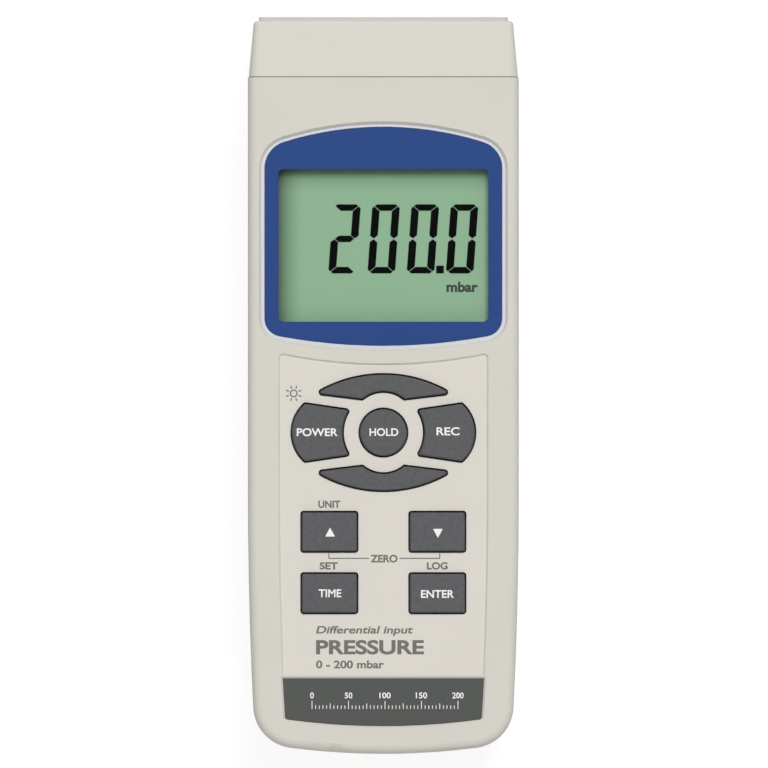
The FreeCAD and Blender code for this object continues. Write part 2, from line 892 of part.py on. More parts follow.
STAND_FOOT = "(hinge_place - stand_length)"
BAY_PLACE = ("0", "-bay_centre")
COVER_LENGTH = "(cover_bottom + cover_top)"
COVER_PLACE = ("0", "(cover_top - cover_bottom)/2")
COVER_SCREWS = [(f"{side}*cover_screw_spacing/2", "cover_screw_place") for side in ("-1", "1")]
TABS = [f"{side}*cover_tab_spacing/2" for side in ("-1", "1")]
STAND_POCKET_WIDTH = "(stand_width + 2*stand_gap)"
STAND_POCKET_TOP = "(hinge_place + hinge_radius + stand_gap)"
STAND_POCKET_FOOT = f"({STAND_FOOT} - stand_gap)"
STAND_PLACE = ("0", f"({STAND_POCKET_TOP} + {STAND_POCKET_FOOT})/2")
STAND_POCKET_LENGTH = f"({STAND_POCKET_TOP} - {STAND_POCKET_FOOT})"
INSERT_PLACE = ("0", "insert_place")

rear = new_body("rear_shell")
outer = pad(draw_case(Drawing(rear, "rear_outer"), "0", CAP_SEAM), "seam_height")
outer = fillet(outer, level_edge("0", casing_edge), "edge_radius")
chamfer(outer, level_edge("seam_height", casing_edge), "seam_edge")
pad(draw_case(Drawing(rear, "rear_lip", "seam_height"), "(wall - lip_width + fit_gap)", CAP_SEAM),
    "lip_height")
pocket(draw_case(Drawing(rear, "rear_hollow", "wall"), "wall", CAP_SEAM), "case_depth", back=False)
pad(Drawing(rear, "bay_walls", "wall/2").block(
    "bay_width + 2*bay_wall", f"{BAY_LENGTH} + 2*bay_wall", BAY_PLACE), f"{BAY_ROOF} - wall/2")
pad(Drawing(rear, "cover_ledge", "wall/2").block(
    "cover_width + 2*ledge_margin", f"{COVER_LENGTH} + 2*ledge_margin", COVER_PLACE),
    "cover_thickness + ledge_height - wall/2")
pad(Drawing(rear, "rear_columns", "wall/2").circles(column_places(), "column_radius"),
    "seam_height - wall/2")
pad(Drawing(rear, "cover_bosses", "wall/2").circles(COVER_SCREWS, "boss_radius"),
    "cover_boss_height")
pad(Drawing(rear, "insert_boss", "wall/2").circle(*INSERT_PLACE, "insert_radius + insert_wall"),
    "insert_length + insert_wall - wall/2")
pad(Drawing(rear, "stand_walls", "wall/2").block(
    f"{STAND_POCKET_WIDTH} + 2*stand_wall", f"{STAND_POCKET_LENGTH} + 2*stand_wall/2", STAND_PLACE),
    "stand_recess_depth + stand_wall/2 - wall/2")
pad(Drawing(rear, "scoop_boss", "wall/2").circle("0", STAND_FOOT, "finger_radius + stand_wall/2"),
    "stand_sunk + stand_thickness + stand_wall/2 - wall/2")
pocket(Drawing(rear, "bay_hollow").block("bay_width", BAY_LENGTH, BAY_PLACE), BAY_CEILING, back=False)
pocket(Drawing(rear, "cover_seat").block(
    "cover_width + 2*fit_gap", f"{COVER_LENGTH} + 2*fit_gap", COVER_PLACE, "cover_corner"),
    "cover_thickness", back=False)
tab_slots = Drawing(rear, "tab_slots", "cover_thickness")
for x in TABS:
    tab_slots.box(f"{x} - cover_tab_width/2 - fit_gap", "-cover_bottom - cover_tab_reach - fit_gap",
                  f"{x} + cover_tab_width/2 + fit_gap", "-cover_bottom + ledge_margin")
pocket(tab_slots, "cover_tab_height + fit_gap", back=False)
pocket(Drawing(rear, "cover_bores", "cover_thickness").circles(
    COVER_SCREWS, "screw_radius + screw_clearance/3"), "cover_bore_depth", back=False)
pocket(Drawing(rear, "column_holes").circles(
    column_places(), "case_screw_radius + screw_clearance"), "seam_height", back=False)
pocket(Drawing(rear, "column_counterbores").circles(
    column_places(), "case_screw_head + screw_clearance"), "case_screw_seat", back=False)
pocket(Drawing(rear, "insert_seat").circle(*INSERT_PLACE, "insert_radius"),
       "insert_length", back=False)
pocket(Drawing(rear, "stand_recess").block(
    STAND_POCKET_WIDTH, STAND_POCKET_LENGTH, STAND_PLACE), "stand_recess_depth", back=False)
pocket(Drawing(rear, "finger_scoop").circle("0", STAND_FOOT, "finger_radius"),
       "stand_sunk + stand_thickness", back=False)
hinge = Drawing(rear, "trunnion_holes", "0", "YZ_Plane")
hinge.circle("hinge_place", "hinge_level", "trunnion_radius + trunnion_gap")
holes = pocket(hinge, f"stand_width + 2*trunnion_length + 2*trunnion_gap")
holes.SideType = "Symmetric"
finished(rear)

# End cap

CAP_HALF_WIDTH = "(case_width/2 - wall - fit_gap - skirt_wall)"
CAP_FLOOR = "(wall + fit_gap + skirt_wall)"
CAP_CEILING = f"({FACE_INSIDE} - fit_gap - skirt_wall)"
PLATE_FOOT = f"({CAP_END} - plate_sunk)"
PLATE_SCREWS = [(f"{side}*plate_screw_spacing/2", PORT_LEVEL) for side in ("-1", "1")]
PORT_PLACES = [(x, PORT_LEVEL) for _, x in PORTS]

cap = new_body("top_cap")
outer = pad(Drawing(cap, "cap_outer", CAP_SEAM, "XZ_Plane").block(
    "case_width - 2*cap_step", "case_depth - 2*cap_step", ("0", PORT_LEVEL), "cap_corner"),
    "cap_length", back=True)
bind(outer, TaperAngle="-atan((case_width/2 - cap_step - cap_end_width/2) / cap_length)")
outer = fillet(outer, level_edge(CAP_END, axis="y"), "cap_edge_radius")
chamfer(outer, level_edge(CAP_SEAM, axis="y"), "cap_seam_edge")
pad(Drawing(cap, "cap_skirt", f"{CAP_SEAM} - skirt_length", "XZ_Plane").box(
    "-case_width/2 + wall + fit_gap", "wall + fit_gap",
    "case_width/2 - wall - fit_gap", f"{FACE_INSIDE} - fit_gap"),
    "skirt_length", back=True)
pocket(Drawing(cap, "cap_hollow", f"{CAP_SEAM} - skirt_length", "XZ_Plane").box(
    f"-{CAP_HALF_WIDTH}", CAP_FLOOR, CAP_HALF_WIDTH, CAP_CEILING),
    "skirt_length + cap_length - cap_end_wall")
pad(Drawing(cap, "plate_bosses", f"{CAP_END} - cap_end_wall", "XZ_Plane").circles(
    PLATE_SCREWS, "boss_radius"), "plate_boss_length")
pocket(Drawing(cap, "plate_seat", PLATE_FOOT, "XZ_Plane").block(
    "plate_width + 2*fit_gap", "plate_depth + 2*fit_gap", ("0", PORT_LEVEL), "plate_corner"),
    "plate_sunk")
pocket(Drawing(cap, "cup_holes", f"{CAP_END} - cap_end_wall", "XZ_Plane").circles(
    PORT_PLACES, "well_radius + cup_wall + fit_gap"), "cap_end_wall")
pocket(Drawing(cap, "plate_bores", PLATE_FOOT, "XZ_Plane").circles(
    PLATE_SCREWS, "screw_radius + screw_clearance/3"), "plate_bore_depth", back=False)
finished(cap)

# Port plate with its two wells, and the spigots in them

plate = new_body("port_plate")
pad(Drawing(plate, "plate_outline", PLATE_FOOT, "XZ_Plane").block(
    "plate_width", "plate_depth", ("0", PORT_LEVEL), "plate_corner"),
    "plate_rise + plate_sunk", back=True)
pad(Drawing(plate, "cups", CUP_FOOT, "XZ_Plane").circles(PORT_PLACES, "well_radius + cup_wall"),
    f"{PLATE_FOOT} - {CUP_FOOT}", back=True)
pocket(Drawing(plate, "wells", "case_length/2", "XZ_Plane").circles(PORT_PLACES, "well_radius"),
       "well_depth", back=False)
pocket(Drawing(plate, "stud_holes", "case_length/2", "XZ_Plane").circles(
    PORT_PLACES, "stud_radius + fit_gap"), "case_length", back=False)
pocket(Drawing(plate, "screw_holes", "case_length/2", "XZ_Plane").circles(
    PLATE_SCREWS, "screw_radius + screw_clearance"), "case_length", back=False)
pocket(Drawing(plate, "screw_wells", "case_length/2", "XZ_Plane").circles(
    PLATE_SCREWS, "screw_head_radius + screw_clearance"), "plate_screw_sunk", back=False)
finished(plate)


def hexagon(drawing, middle, width):
    """A regular hexagon from its width across the flats."""
    x, y = middle
    reach = f"({width}/2 / cos(30 deg))"
    corners = [
        (f"{x} + {reach}*cos({turn} deg)", f"{y} + {reach}*sin({turn} deg)")
        for turn in range(0, 360, 60)
    ]
    return drawing.outline(corners)


SEAL_TOP = f"({WELL_FLOOR} + seal_height)"
NUT_FOOT = f"({CUP_FOOT} - nut_height)"
TAIL_FOOT = f"({NUT_FOOT} - tail_length)"
SPIGOT_TIP = "(case_length/2 - spigot_recess)"
for name, x in PORTS:
    spigot = new_body(f"spigot_{name}")
    revolve(Drawing(spigot, f"{name}_profile", PORT_LEVEL, shift=(x, "0")).outline([
        ("spigot_bore", TAIL_FOOT),
        ("tail_radius", TAIL_FOOT),
        ("tail_radius", NUT_FOOT),
        ("stud_radius", NUT_FOOT),
        ("stud_radius", SEAL_TOP),
        ("flange_radius", SEAL_TOP),
        ("flange_radius", f"{SEAL_TOP} + flange_height"),
        ("spigot_radius", f"{SEAL_TOP} + flange_height"),
        ("spigot_radius", f"{SPIGOT_TIP} - spigot_tip"),
        ("spigot_radius - spigot_tip/2", SPIGOT_TIP),
        ("spigot_bore", SPIGOT_TIP),
    ]))
    finished(spigot)

seals = new_body("port_seals")
pad(Drawing(seals, "seal_rings", WELL_FLOOR, "XZ_Plane")
    .circles(PORT_PLACES, "flange_radius")
    .circles(PORT_PLACES, "stud_radius + fit_gap"), "seal_height", back=True)
finished(seals)

nuts = new_body("port_nuts")
drawing = Drawing(nuts, "nut_outlines", CUP_FOOT, "XZ_Plane")
for place in PORT_PLACES:
    hexagon(drawing, place, "nut_width").circle(*place, "stud_radius + thread_gap")
pad(drawing, "nut_height")
finished(nuts)


def screws(name, places, seat, length, plane="XY_Plane",
           head="screw_head_radius", height="screw_head_height", shank="screw_radius"):
    """Pan-headed screws that go in along the plane's normal from where their heads seat."""
    body = new_body(name)
    pad(Drawing(body, f"{name}_shanks", seat, plane).circles(places, shank), length)
    pad(Drawing(body, f"{name}_heads", seat, plane).circles(places, head), height, back=True)
    return finished(body)


screws("port_plate_screws", PLATE_SCREWS, "case_length/2 - plate_screw_sunk", "plate_screw_length",
       plane="XZ_Plane", height="plate_screw_head")

# Hoses and the pressure sensor

SENSOR_FACE = "(sensor_place + sensor_length/2)"
for name, x in PORTS:
    hose = new_body(f"hose_{name}")
    section = Drawing(hose, f"{name}_section", SENSOR_FACE, "XZ_Plane")
    section.circle(x, PORT_LEVEL, "hose_radius").circle(x, PORT_LEVEL, "hose_bore")
    pad(section, f"{NUT_FOOT} - {SENSOR_FACE}", back=True)
    finished(hose)

sensor = new_body("pressure_sensor")
pad(Drawing(sensor, "sensor_block", BOARD_FOOT).block(
    "sensor_width", "sensor_length", ("0", "sensor_place")), "sensor_height", back=True)
pad(Drawing(sensor, "nipples", SENSOR_FACE, "XZ_Plane").circles(PORT_PLACES, "tail_radius"),
    "nipple_length", back=True)
pocket(Drawing(sensor, "nipple_bores", f"{SENSOR_FACE} + nipple_length", "XZ_Plane").circles(
    PORT_PLACES, "tail_radius/2"), "nipple_length", back=False)
finished(sensor)

# Display

bezel = new_body("display_bezel")
pad(draw_bezel(Drawing(bezel, "bezel_outline", LENS_TOP), "0").block(
    "window_width", "window_length", DISPLAY_PLACE, "window_corner"), "bezel_thickness")
finished(bezel)

lens = new_body("display_lens")
pad(Drawing(lens, "lens_outline", LENS_FOOT).block(
    LENS_WIDTH, LENS_LENGTH, DISPLAY_PLACE, "window_corner"), "lens_thickness")
finished(lens)

frame = new_body("lcd_frame")
pad(Drawing(frame, "frame_outline", "board_level").block(
    f"{GLASS_WIDTH} + 2*frame_wall", f"{GLASS_LENGTH} + 2*frame_wall", DISPLAY_PLACE),
    f"{LENS_FOOT} - board_level")
pocket(Drawing(frame, "glass_pocket", "board_level").block(
    f"{GLASS_WIDTH} + 2*fit_gap", f"{GLASS_LENGTH} + 2*fit_gap", DISPLAY_PLACE),
    f"{GLASS_TOP} - board_level", back=False)
pocket(Drawing(frame, "frame_window", GLASS_TOP).block(
    "window_width + 2*frame_opening_gap", "window_length + 2*frame_opening_gap", DISPLAY_PLACE),
    f"{LENS_FOOT} - {GLASS_TOP}", back=False)
finished(frame)

glass = new_body("lcd_glass")
pad(Drawing(glass, "glass_outline", GLASS_FOOT).block(GLASS_WIDTH, GLASS_LENGTH, DISPLAY_PLACE),
    "glass_thickness")
finished(glass)

light = new_body("lcd_backlight")
pad(Drawing(light, "light_outline", "board_level").block(
    f"{GLASS_WIDTH} - 2*backlight_margin", f"{GLASS_LENGTH} - 2*strip_width - 2*strip_gap",
    DISPLAY_PLACE), "backlight_thickness")
finished(light)

strips = new_body("zebra_strips")
drawing = Drawing(strips, "strip_outlines", "board_level")
for side in ("-1", "1"):
    drawing.block(f"{GLASS_WIDTH} - 2*backlight_margin", "strip_width",
                  ("0", f"(display_centre + {side}*({GLASS_LENGTH} - strip_width)/2)"))
pad(drawing, "backlight_thickness")
finished(strips)

# The strokes of a seven-segment figure, as corners measured from its lower left
CORNER_FALL = "(digit_corner * digit_bar/digit_stroke)"
BAR_END = "(digit_width - digit_stroke - digit_gap)"
STROKES = {
    "top": [
        ("digit_gap + 2*digit_corner", "digit_height"),
        ("digit_gap + digit_corner", f"digit_height - {CORNER_FALL}"),
        ("digit_stroke + digit_gap", "digit_height - digit_bar"),
        (BAR_END, "digit_height - digit_bar"),
        ("digit_width - digit_gap - digit_corner", f"digit_height - {CORNER_FALL}"),
        ("digit_width - digit_gap - 2*digit_corner", "digit_height"),
    ],
    "middle": [
        ("digit_stroke/2 + digit_gap", "digit_height/2"),
        ("digit_stroke + digit_gap", "digit_height/2 - digit_bar/2"),
        (BAR_END, "digit_height/2 - digit_bar/2"),
        ("digit_width - digit_stroke/2 - digit_gap", "digit_height/2"),
        (BAR_END, "digit_height/2 + digit_bar/2"),
        ("digit_stroke + digit_gap", "digit_height/2 + digit_bar/2"),
    ],
    "upper_right": [
        ("digit_width", f"digit_height - digit_gap - 2*{CORNER_FALL}"),
        ("digit_width - digit_corner", f"digit_height - digit_gap - {CORNER_FALL}"),
        ("digit_width - digit_stroke", "digit_height - digit_bar - digit_gap"),
        ("digit_width - digit_stroke", "digit_height/2 + digit_bar/2 + digit_gap"),
        ("digit_width - digit_stroke/2", "digit_height/2 + digit_gap"),
        ("digit_width", "digit_height/2 + digit_bar/2"),
    ],
}


def flipped(stroke, across=False, over=False):
    return [
        (f"digit_width - ({x})" if across else x, f"digit_height - ({y})" if over else y)
        for x, y in stroke
    ]


STROKES["bottom"] = flipped(STROKES["top"], over=True)
STROKES["lower_right"] = flipped(STROKES["upper_right"], over=True)
STROKES["upper_left"] = flipped(STROKES["upper_right"], across=True)
STROKES["lower_left"] = flipped(STROKES["upper_right"], across=True, over=True)
FIGURES = {
    "2": ("top", "upper_right", "middle", "lower_left", "bottom"),
    "0": ("top", "upper_right", "lower_right", "bottom", "lower_left", "upper_left"),
}

segments = new_body("lcd_segments")
for number, figure in enumerate("2000"):
    left = f"(digit_right - digit_width - {3 - number}*digit_pitch)"
    drawing = Drawing(segments, f"figure_{number}", GLASS_TOP, shift=(left, "display_centre - digit_foot"))
    for stroke in FIGURES[figure]:
        drawing.outline([(f"{x} + digit_lean*({y})", y) for x, y in STROKES[stroke]])
    if number == 3:
        middle = "(digit_width - digit_pitch)/2"
        drawing.box(f"{middle} - point_size/2", "0", f"{middle} + point_size/2", "point_size")
    pad(drawing, "digit_film")
finished(segments)

# Circuit board

BOARD_PLACE = ("0", "(board_top - board_bottom)/2")
board = new_body("main_board")
pad(Drawing(board, "board_outline", BOARD_FOOT)
    .block("board_width", "board_top + board_bottom", BOARD_PLACE)
    .circles(board_screw_places(), "screw_radius + screw_clearance"), "board_thickness")
finished(board)

screws("board_screws", board_screw_places(), BOARD_FOOT, "board_screw_length")

CHIPS = [  # place across, place along, width, length
    (-14, 20, 12, 12),
    (6, 4, 9, 6),
    (-8, -22, 10, 7),
    (14, 26, 5, 5),
    (-18, -48, 6, 8),
]
chips = new_body("board_chips")
drawing = Drawing(chips, "chip_outlines", BOARD_FOOT)
for x, y, width, length in CHIPS:
    drawing.block(str(width), str(length), (str(x), str(y)))
pad(drawing, "chip_height", back=True)
finished(chips)

card = new_body("card_socket")
CARD_PLACE = (f"({SOCKET_FACE} - card_socket_depth/2)", "(-card_place)")
pad(Drawing(card, "card_outline", BOARD_FOOT).block(
    "card_socket_depth", "card_socket_width", CARD_PLACE), "card_socket_height", back=True)
pocket(Drawing(card, "card_slot", SOCKET_FACE, "YZ_Plane").block(
    "card_slot_width", "card_slot_height", ("-card_place", CARD_LEVEL)), "0.9*card_socket_depth")
finished(card)


def jack(name, place, level, width, depth, height, nose, bore, pin=None):
    """A round socket on the board's underside, with a nose in the casing's wall."""
    body = new_body(name)
    middle = (f"({SOCKET_FACE} - {depth}/2)", place)
    pad(Drawing(body, f"{name}_block", BOARD_FOOT).block(depth, width, middle), height, back=True)
    pad(Drawing(body, f"{name}_nose", SOCKET_FACE, "YZ_Plane").circle(place, level, nose), "nose_length")
    tip = f"({SOCKET_FACE} + nose_length)"
    pocket(Drawing(body, f"{name}_bore", tip, "YZ_Plane").circle(place, level, bore), f"0.9*{depth}")
    if pin:
        pad(Drawing(body, f"{name}_pin", f"{tip} - 0.9*{depth}", "YZ_Plane").circle(place, level, pin),
            f"0.8*{depth}")
    return finished(body)


jack("serial_jack", "(-serial_place)", SERIAL_LEVEL, "serial_width", "serial_depth",
     "serial_height", "serial_nose", "serial_bore")
jack("power_jack", "power_place", POWER_LEVEL, "power_width", "power_depth",
     "power_height", "power_nose", "power_bore", "power_pin")

buzzer = new_body("buzzer")
pad(Drawing(buzzer, "buzzer_outline", BOARD_FOOT).circle("0", "buzzer_place", "buzzer_radius"),
    "buzzer_height", back=True)
finished(buzzer)

# Keypad

MAT_CREST = "(-cluster_drop + crescent_crown + mat_margin)"
MAT_FOOT = "(-lower_row_drop - square_key_length/2 - mat_margin)"
PLUNGERS = [place for _, _, *place in KEYS.values()]

overlay = new_body("panel_overlay")
pad(draw_panel(Drawing(overlay, "overlay_outline", PANEL_FLOOR), "0"), "overlay_thickness")
cut_key_openings(overlay, f"{PANEL_FLOOR} + overlay_thickness", "overlay_thickness")
finished(overlay)

band = new_body("name_band")
pad(draw_band(Drawing(band, "band_outline", PANEL_FLOOR), "0"), "overlay_thickness")
finished(band)

mat = new_body("keypad_mat")
pad(Drawing(mat, "mat_outline", "board_level")
    .box("-mat_width/2", MAT_FOOT, "mat_width/2", MAT_CREST, "mat_margin")
    .circles(PLUNGERS, "plunger_radius + plunger_gap"), "mat_thickness")
finished(mat)


def key_slab(name, hole, growth, height, downwards=False):
    """A slab on the outline of a key's hole, grown by an amount."""
    outline = document.addObject("Part::Offset2D", f"{name}_outline")
    outline.Source = hole
    bind(outline, Value=growth)
    slab = document.addObject("Part::Extrusion", name)
    slab.Base = outline
    slab.DirMode = "Custom"
    slab.Dir = Vector(0, 0, -1 if downwards else 1)
    slab.Solid = True
    return bind(slab, LengthFwd=height)


for name, (draw, options, x, y) in KEYS.items():
    hole = draw(Drawing(None, f"{name}_hole", FACE_INSIDE), *options).done()
    column = key_slab(f"{name}_column", hole, "-key_gap", f"{KEY_TOP} - {FACE_INSIDE}")
    flange = key_slab(f"{name}_flange", hole, "key_flange - key_gap", "key_flange_height", True)
    plunger = cylinder(f"{name}_plunger", (x, y, PILL_TOP), "plunger_radius",
                       f"{FLANGE_FOOT} - {PILL_TOP}")
    solid = document.addObject("Part::MultiFuse", f"{name}_solid")
    solid.Shapes = [column, flange, plunger]
    solid.Refine = True
    body = new_body(name)
    body.BaseFeature = solid
    document.recompute()
    chamfer(body.Tip, level_edge(KEY_TOP), "key_edge")
    finished(body)
    pill = cylinder(name.replace("key", "pill"), (x, y, PILL_FOOT), "pill_radius", "pill_thickness")
    finished(pill)

# Batteries and their cover

CELL_END = "(bay_width/2 - contact_thickness - cell_nub_height)"  # beside the nub
CELL_TAIL = f"({CELL_END} - cell_length)"
CELL_PLACES = [
    (f"(-bay_centre + ({number} - (cell_count - 1)/2)*cell_pitch)", 1 if number % 2 else -1)
    for number in range(int(size("cell_count")))
]
for number, (place, way) in enumerate(CELL_PLACES, 1):
    cell = new_body(f"battery_cell_{number}")
    corners = [
        (CELL_TAIL, "0"),
        (f"({CELL_END} + cell_nub_height)", "0"),
        (f"({CELL_END} + cell_nub_height)", "cell_nub_radius"),
        (CELL_END, "cell_nub_radius"),
        (CELL_END, "cell_radius"),
        (CELL_TAIL, "cell_radius"),
    ]
    drawing = Drawing(cell, f"cell_{number}_profile", CELL_LEVEL, shift=("0", place))
    revolve(drawing.outline([(f"{way}*{x}", y) for x, y in corners]), "H_Axis")
    finished(cell)

contacts = new_body("battery_contacts")
for side in (-1, 1):
    wall, inner = f"{side}*bay_width/2", f"{side}*(bay_width/2 - contact_thickness)"
    end = "right" if side > 0 else "left"
    drawing = Drawing(contacts, f"contacts_{end}", f"({CELL_LEVEL} - contact_width/2)")
    for place, way in CELL_PLACES:
        if way == side:
            drawing.outline([
                (wall, f"{place} - contact_width/2"),
                (inner, f"{place} - contact_width/2"),
                (inner, f"{place} + contact_width/2"),
                (wall, f"{place} + contact_width/2"),
            ])
            continue
        tail = f"{side}*(-{CELL_TAIL})"
        near = f"{side}*(-{CELL_TAIL} + contact_thickness)"
        drawing.outline([
            (wall, f"{place} - contact_width/2"),
            (inner, f"{place} - contact_width/2"),
            (inner, f"{place} + contact_width/4"),
            (near, f"{place} - contact_width/16"),
            (near, f"{place} - contact_width/4"),
            (tail, f"{place} - contact_width/4"),
            (tail, f"{place} + contact_width/16"),
            (inner, f"{place} + contact_width/2"),
            (wall, f"{place} + contact_width/2"),
        ])
    pad(drawing, "contact_width")
finished(contacts)

cover = new_body("battery_cover")
pad(Drawing(cover, "cover_outline").block(
    "cover_width", COVER_LENGTH, COVER_PLACE, "cover_corner"), "cover_thickness")
tabs = Drawing(cover, "cover_tabs", "cover_thickness")
for x in TABS:
    tabs.box(f"{x} - cover_tab_width/2", "-cover_bottom - cover_tab_reach",
             f"{x} + cover_tab_width/2", "-cover_bottom + ledge_margin - fit_gap")
pad(tabs, "cover_tab_height")
grip = Drawing(cover, "cover_grip")
for number in range(int(size("grip_count"))):
    grip.block("grip_length", "grip_groove", ("0", f"(cover_top - grip_place - {number}*grip_pitch)"))
pocket(grip, "grip_depth", back=False)
pocket(Drawing(cover, "cover_holes").circles(COVER_SCREWS, "screw_radius + screw_clearance"),
       "cover_thickness", back=False)
pocket(Drawing(cover, "cover_counterbores").circles(
    COVER_SCREWS, "screw_head_radius + screw_clearance"), "cover_screw_sunk", back=False)
finished(cover)

screws("cover_screws", COVER_SCREWS, "cover_screw_sunk", "cover_screw_length",
       height="cover_screw_head")
screws("case_screws", column_places(), "case_screw_seat", "case_screw_length",
       head="case_screw_head", height="case_screw_head_height", shank="case_screw_radius")

insert = new_body("tripod_insert")
ring = Drawing(insert, "insert_ring", "insert_sunk").circle(*INSERT_PLACE, "insert_radius")
pad(ring.circle(*INSERT_PLACE, "insert_bore"), "insert_length - insert_sunk")
finished(insert)

# Tilt stand, folded into the back

stand = new_body("tilt_stand")
drawing = Drawing(stand, "stand_outline", "stand_sunk")
pad(drawing.outline([
    ("-stand_width/2", STAND_FOOT, "stand_corner"),
    ("stand_width/2", STAND_FOOT, "stand_corner"),
    ("stand_width/2", "hinge_place"),
    ("-stand_width/2", "hinge_place"),
]), "stand_thickness")
barrel = pad(Drawing(stand, "stand_barrel", "0", "YZ_Plane").circle(
    "hinge_place", "hinge_level", "hinge_radius"), "stand_width")
barrel.SideType = "Symmetric"
trunnions = pad(Drawing(stand, "trunnions", "0", "YZ_Plane").circle(
    "hinge_place", "hinge_level", "trunnion_radius"), "stand_width + 2*trunnion_length")
trunnions.SideType = "Symmetric"
pocket(Drawing(stand, "stand_hollow", "stand_sunk + stand_thickness").box(
    "-stand_width/2 + stand_rail", f"{STAND_FOOT} + stand_foot_rail",
    "stand_width/2 - stand_rail", "hinge_place - stand_head_rail"), "stand_hollow_depth")
finished(stand)

# Check and export

document.recompute()
os.makedirs("parts", exist_ok=True)
for thing in document.Objects:
    if {"Invalid", "Error"} & set(thing.State):
        raise RuntimeError(f"{thing.Name} did not build")
for node in nodes:
    if node.Shape.isNull() or not node.Shape.isValid() or not node.Shape.Solids:
        raise RuntimeError(f"{node.Name} has no sound solid")
    node.Shape.exportStep(f"parts/{node.Label}.step")
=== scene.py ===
import json
import math

import bmesh
import bpy
from bpy.props import FloatProperty, FloatVectorProperty, PointerProperty
from mathutils import Matrix, Vector


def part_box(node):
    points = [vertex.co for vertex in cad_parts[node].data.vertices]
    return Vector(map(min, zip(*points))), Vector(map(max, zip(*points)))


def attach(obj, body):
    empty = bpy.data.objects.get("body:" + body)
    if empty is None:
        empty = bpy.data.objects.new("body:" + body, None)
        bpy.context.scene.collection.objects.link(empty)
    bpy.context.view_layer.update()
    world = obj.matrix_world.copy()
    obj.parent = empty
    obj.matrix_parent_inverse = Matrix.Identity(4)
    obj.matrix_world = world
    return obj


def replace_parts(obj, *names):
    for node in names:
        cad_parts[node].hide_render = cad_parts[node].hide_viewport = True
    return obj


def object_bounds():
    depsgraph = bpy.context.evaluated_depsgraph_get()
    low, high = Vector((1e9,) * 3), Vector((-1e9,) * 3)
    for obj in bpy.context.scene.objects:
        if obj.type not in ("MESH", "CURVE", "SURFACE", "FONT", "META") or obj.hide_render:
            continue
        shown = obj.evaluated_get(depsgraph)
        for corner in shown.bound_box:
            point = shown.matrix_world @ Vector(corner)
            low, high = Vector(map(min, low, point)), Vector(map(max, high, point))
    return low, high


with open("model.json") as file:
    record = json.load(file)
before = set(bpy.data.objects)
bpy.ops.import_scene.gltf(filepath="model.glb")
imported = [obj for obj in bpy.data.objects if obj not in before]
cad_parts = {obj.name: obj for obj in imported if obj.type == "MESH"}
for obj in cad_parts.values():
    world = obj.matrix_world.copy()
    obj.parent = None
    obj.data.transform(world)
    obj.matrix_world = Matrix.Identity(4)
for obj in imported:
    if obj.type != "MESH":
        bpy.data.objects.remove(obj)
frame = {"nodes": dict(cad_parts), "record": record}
cad_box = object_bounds()

bl_info = {
    "name": "Digital manometer",
    "version": (1, 0, 0),
    "blender": (4, 5, 0),
    "location": "View3D > Sidebar > Manometer",
    "description": "Dresses the solids of a handheld digital manometer and sets its studio",
    "category": "Object",
}


# Sizes and colours


def linear(part):
    """One part of a screen colour as an amount of light."""
    return part / 12.92 if part <= 0.04045 else ((part + 0.055) / 1.055) ** 2.4


def colour_property(name, description, red, green, blue):
    """A colour as it is written in a paint chart, from 0 to 255."""
    return FloatVectorProperty(
        name=name,
        description=description,
        subtype="COLOR",
        size=3,
        min=0,
        max=1,
        default=tuple(linear(part / 255) for part in (red, green, blue)),
    )


def length_property(name, description, default):
    """A length in metres."""
    return FloatProperty(
        name=name, description=description, default=default, min=0, unit="LENGTH", precision=5
    )


class METER_sizes(bpy.types.PropertyGroup):
    """Sizes of the print, the grain, the screws, the thread and the studio."""

    ink: length_property("Ink", "Thickness of a printed mark", 0.00003)
    line: length_property("Line", "Width of the printed lines", 0.00028)
    grain: length_property("Grain", "Size of the casing's moulded grain", 0.0006)
    covered: length_property(
        "Covered lens", "Width of the lens's edge under its surround", 0.002
    )
    small_head: length_property(
        "Small screw's head", "Height of a plate or cover screw's head", 0.0011
    )
    small_shank: length_property(
        "Small screw's shank", "Radius of a plate or cover screw's shank", 0.001
    )
    case_head: length_property("Case screw's head", "Radius of a case screw's head", 0.0023)
    case_head_height: length_property(
        "Case screw's head height", "Height of a case screw's head", 0.0018
    )
    case_shank: length_property("Case screw's shank", "Radius of a case screw's shank", 0.0012)
    thread_root: length_property("Thread's root", "Radius of the tripod thread's root", 0.00262)
    thread_crest: length_property(
        "Thread's crest", "Radius inside the tripod thread's crest", 0.0023
    )
    thread_pitch: length_property(
        "Thread's pitch", "Rise of the tripod thread in a turn", 0.00127
    )
    foot_screws: length_property(
        "Foot screws", "Distance between the two case screws at the foot", 0.044
    )
    pixel: length_property(
        "Pixel", "Width of the face that one pixel of the picture covers", 0.000275
    )
    distance: length_property("Distance", "Height of the camera over the meter", 1.8)
    aim: FloatVectorProperty(
        name="Aim",
        description="Where the camera looks, from the meter's middle",
        size=2,
        default=(0.00017, 0.00036),
        unit="LENGTH",
        precision=5,
    )


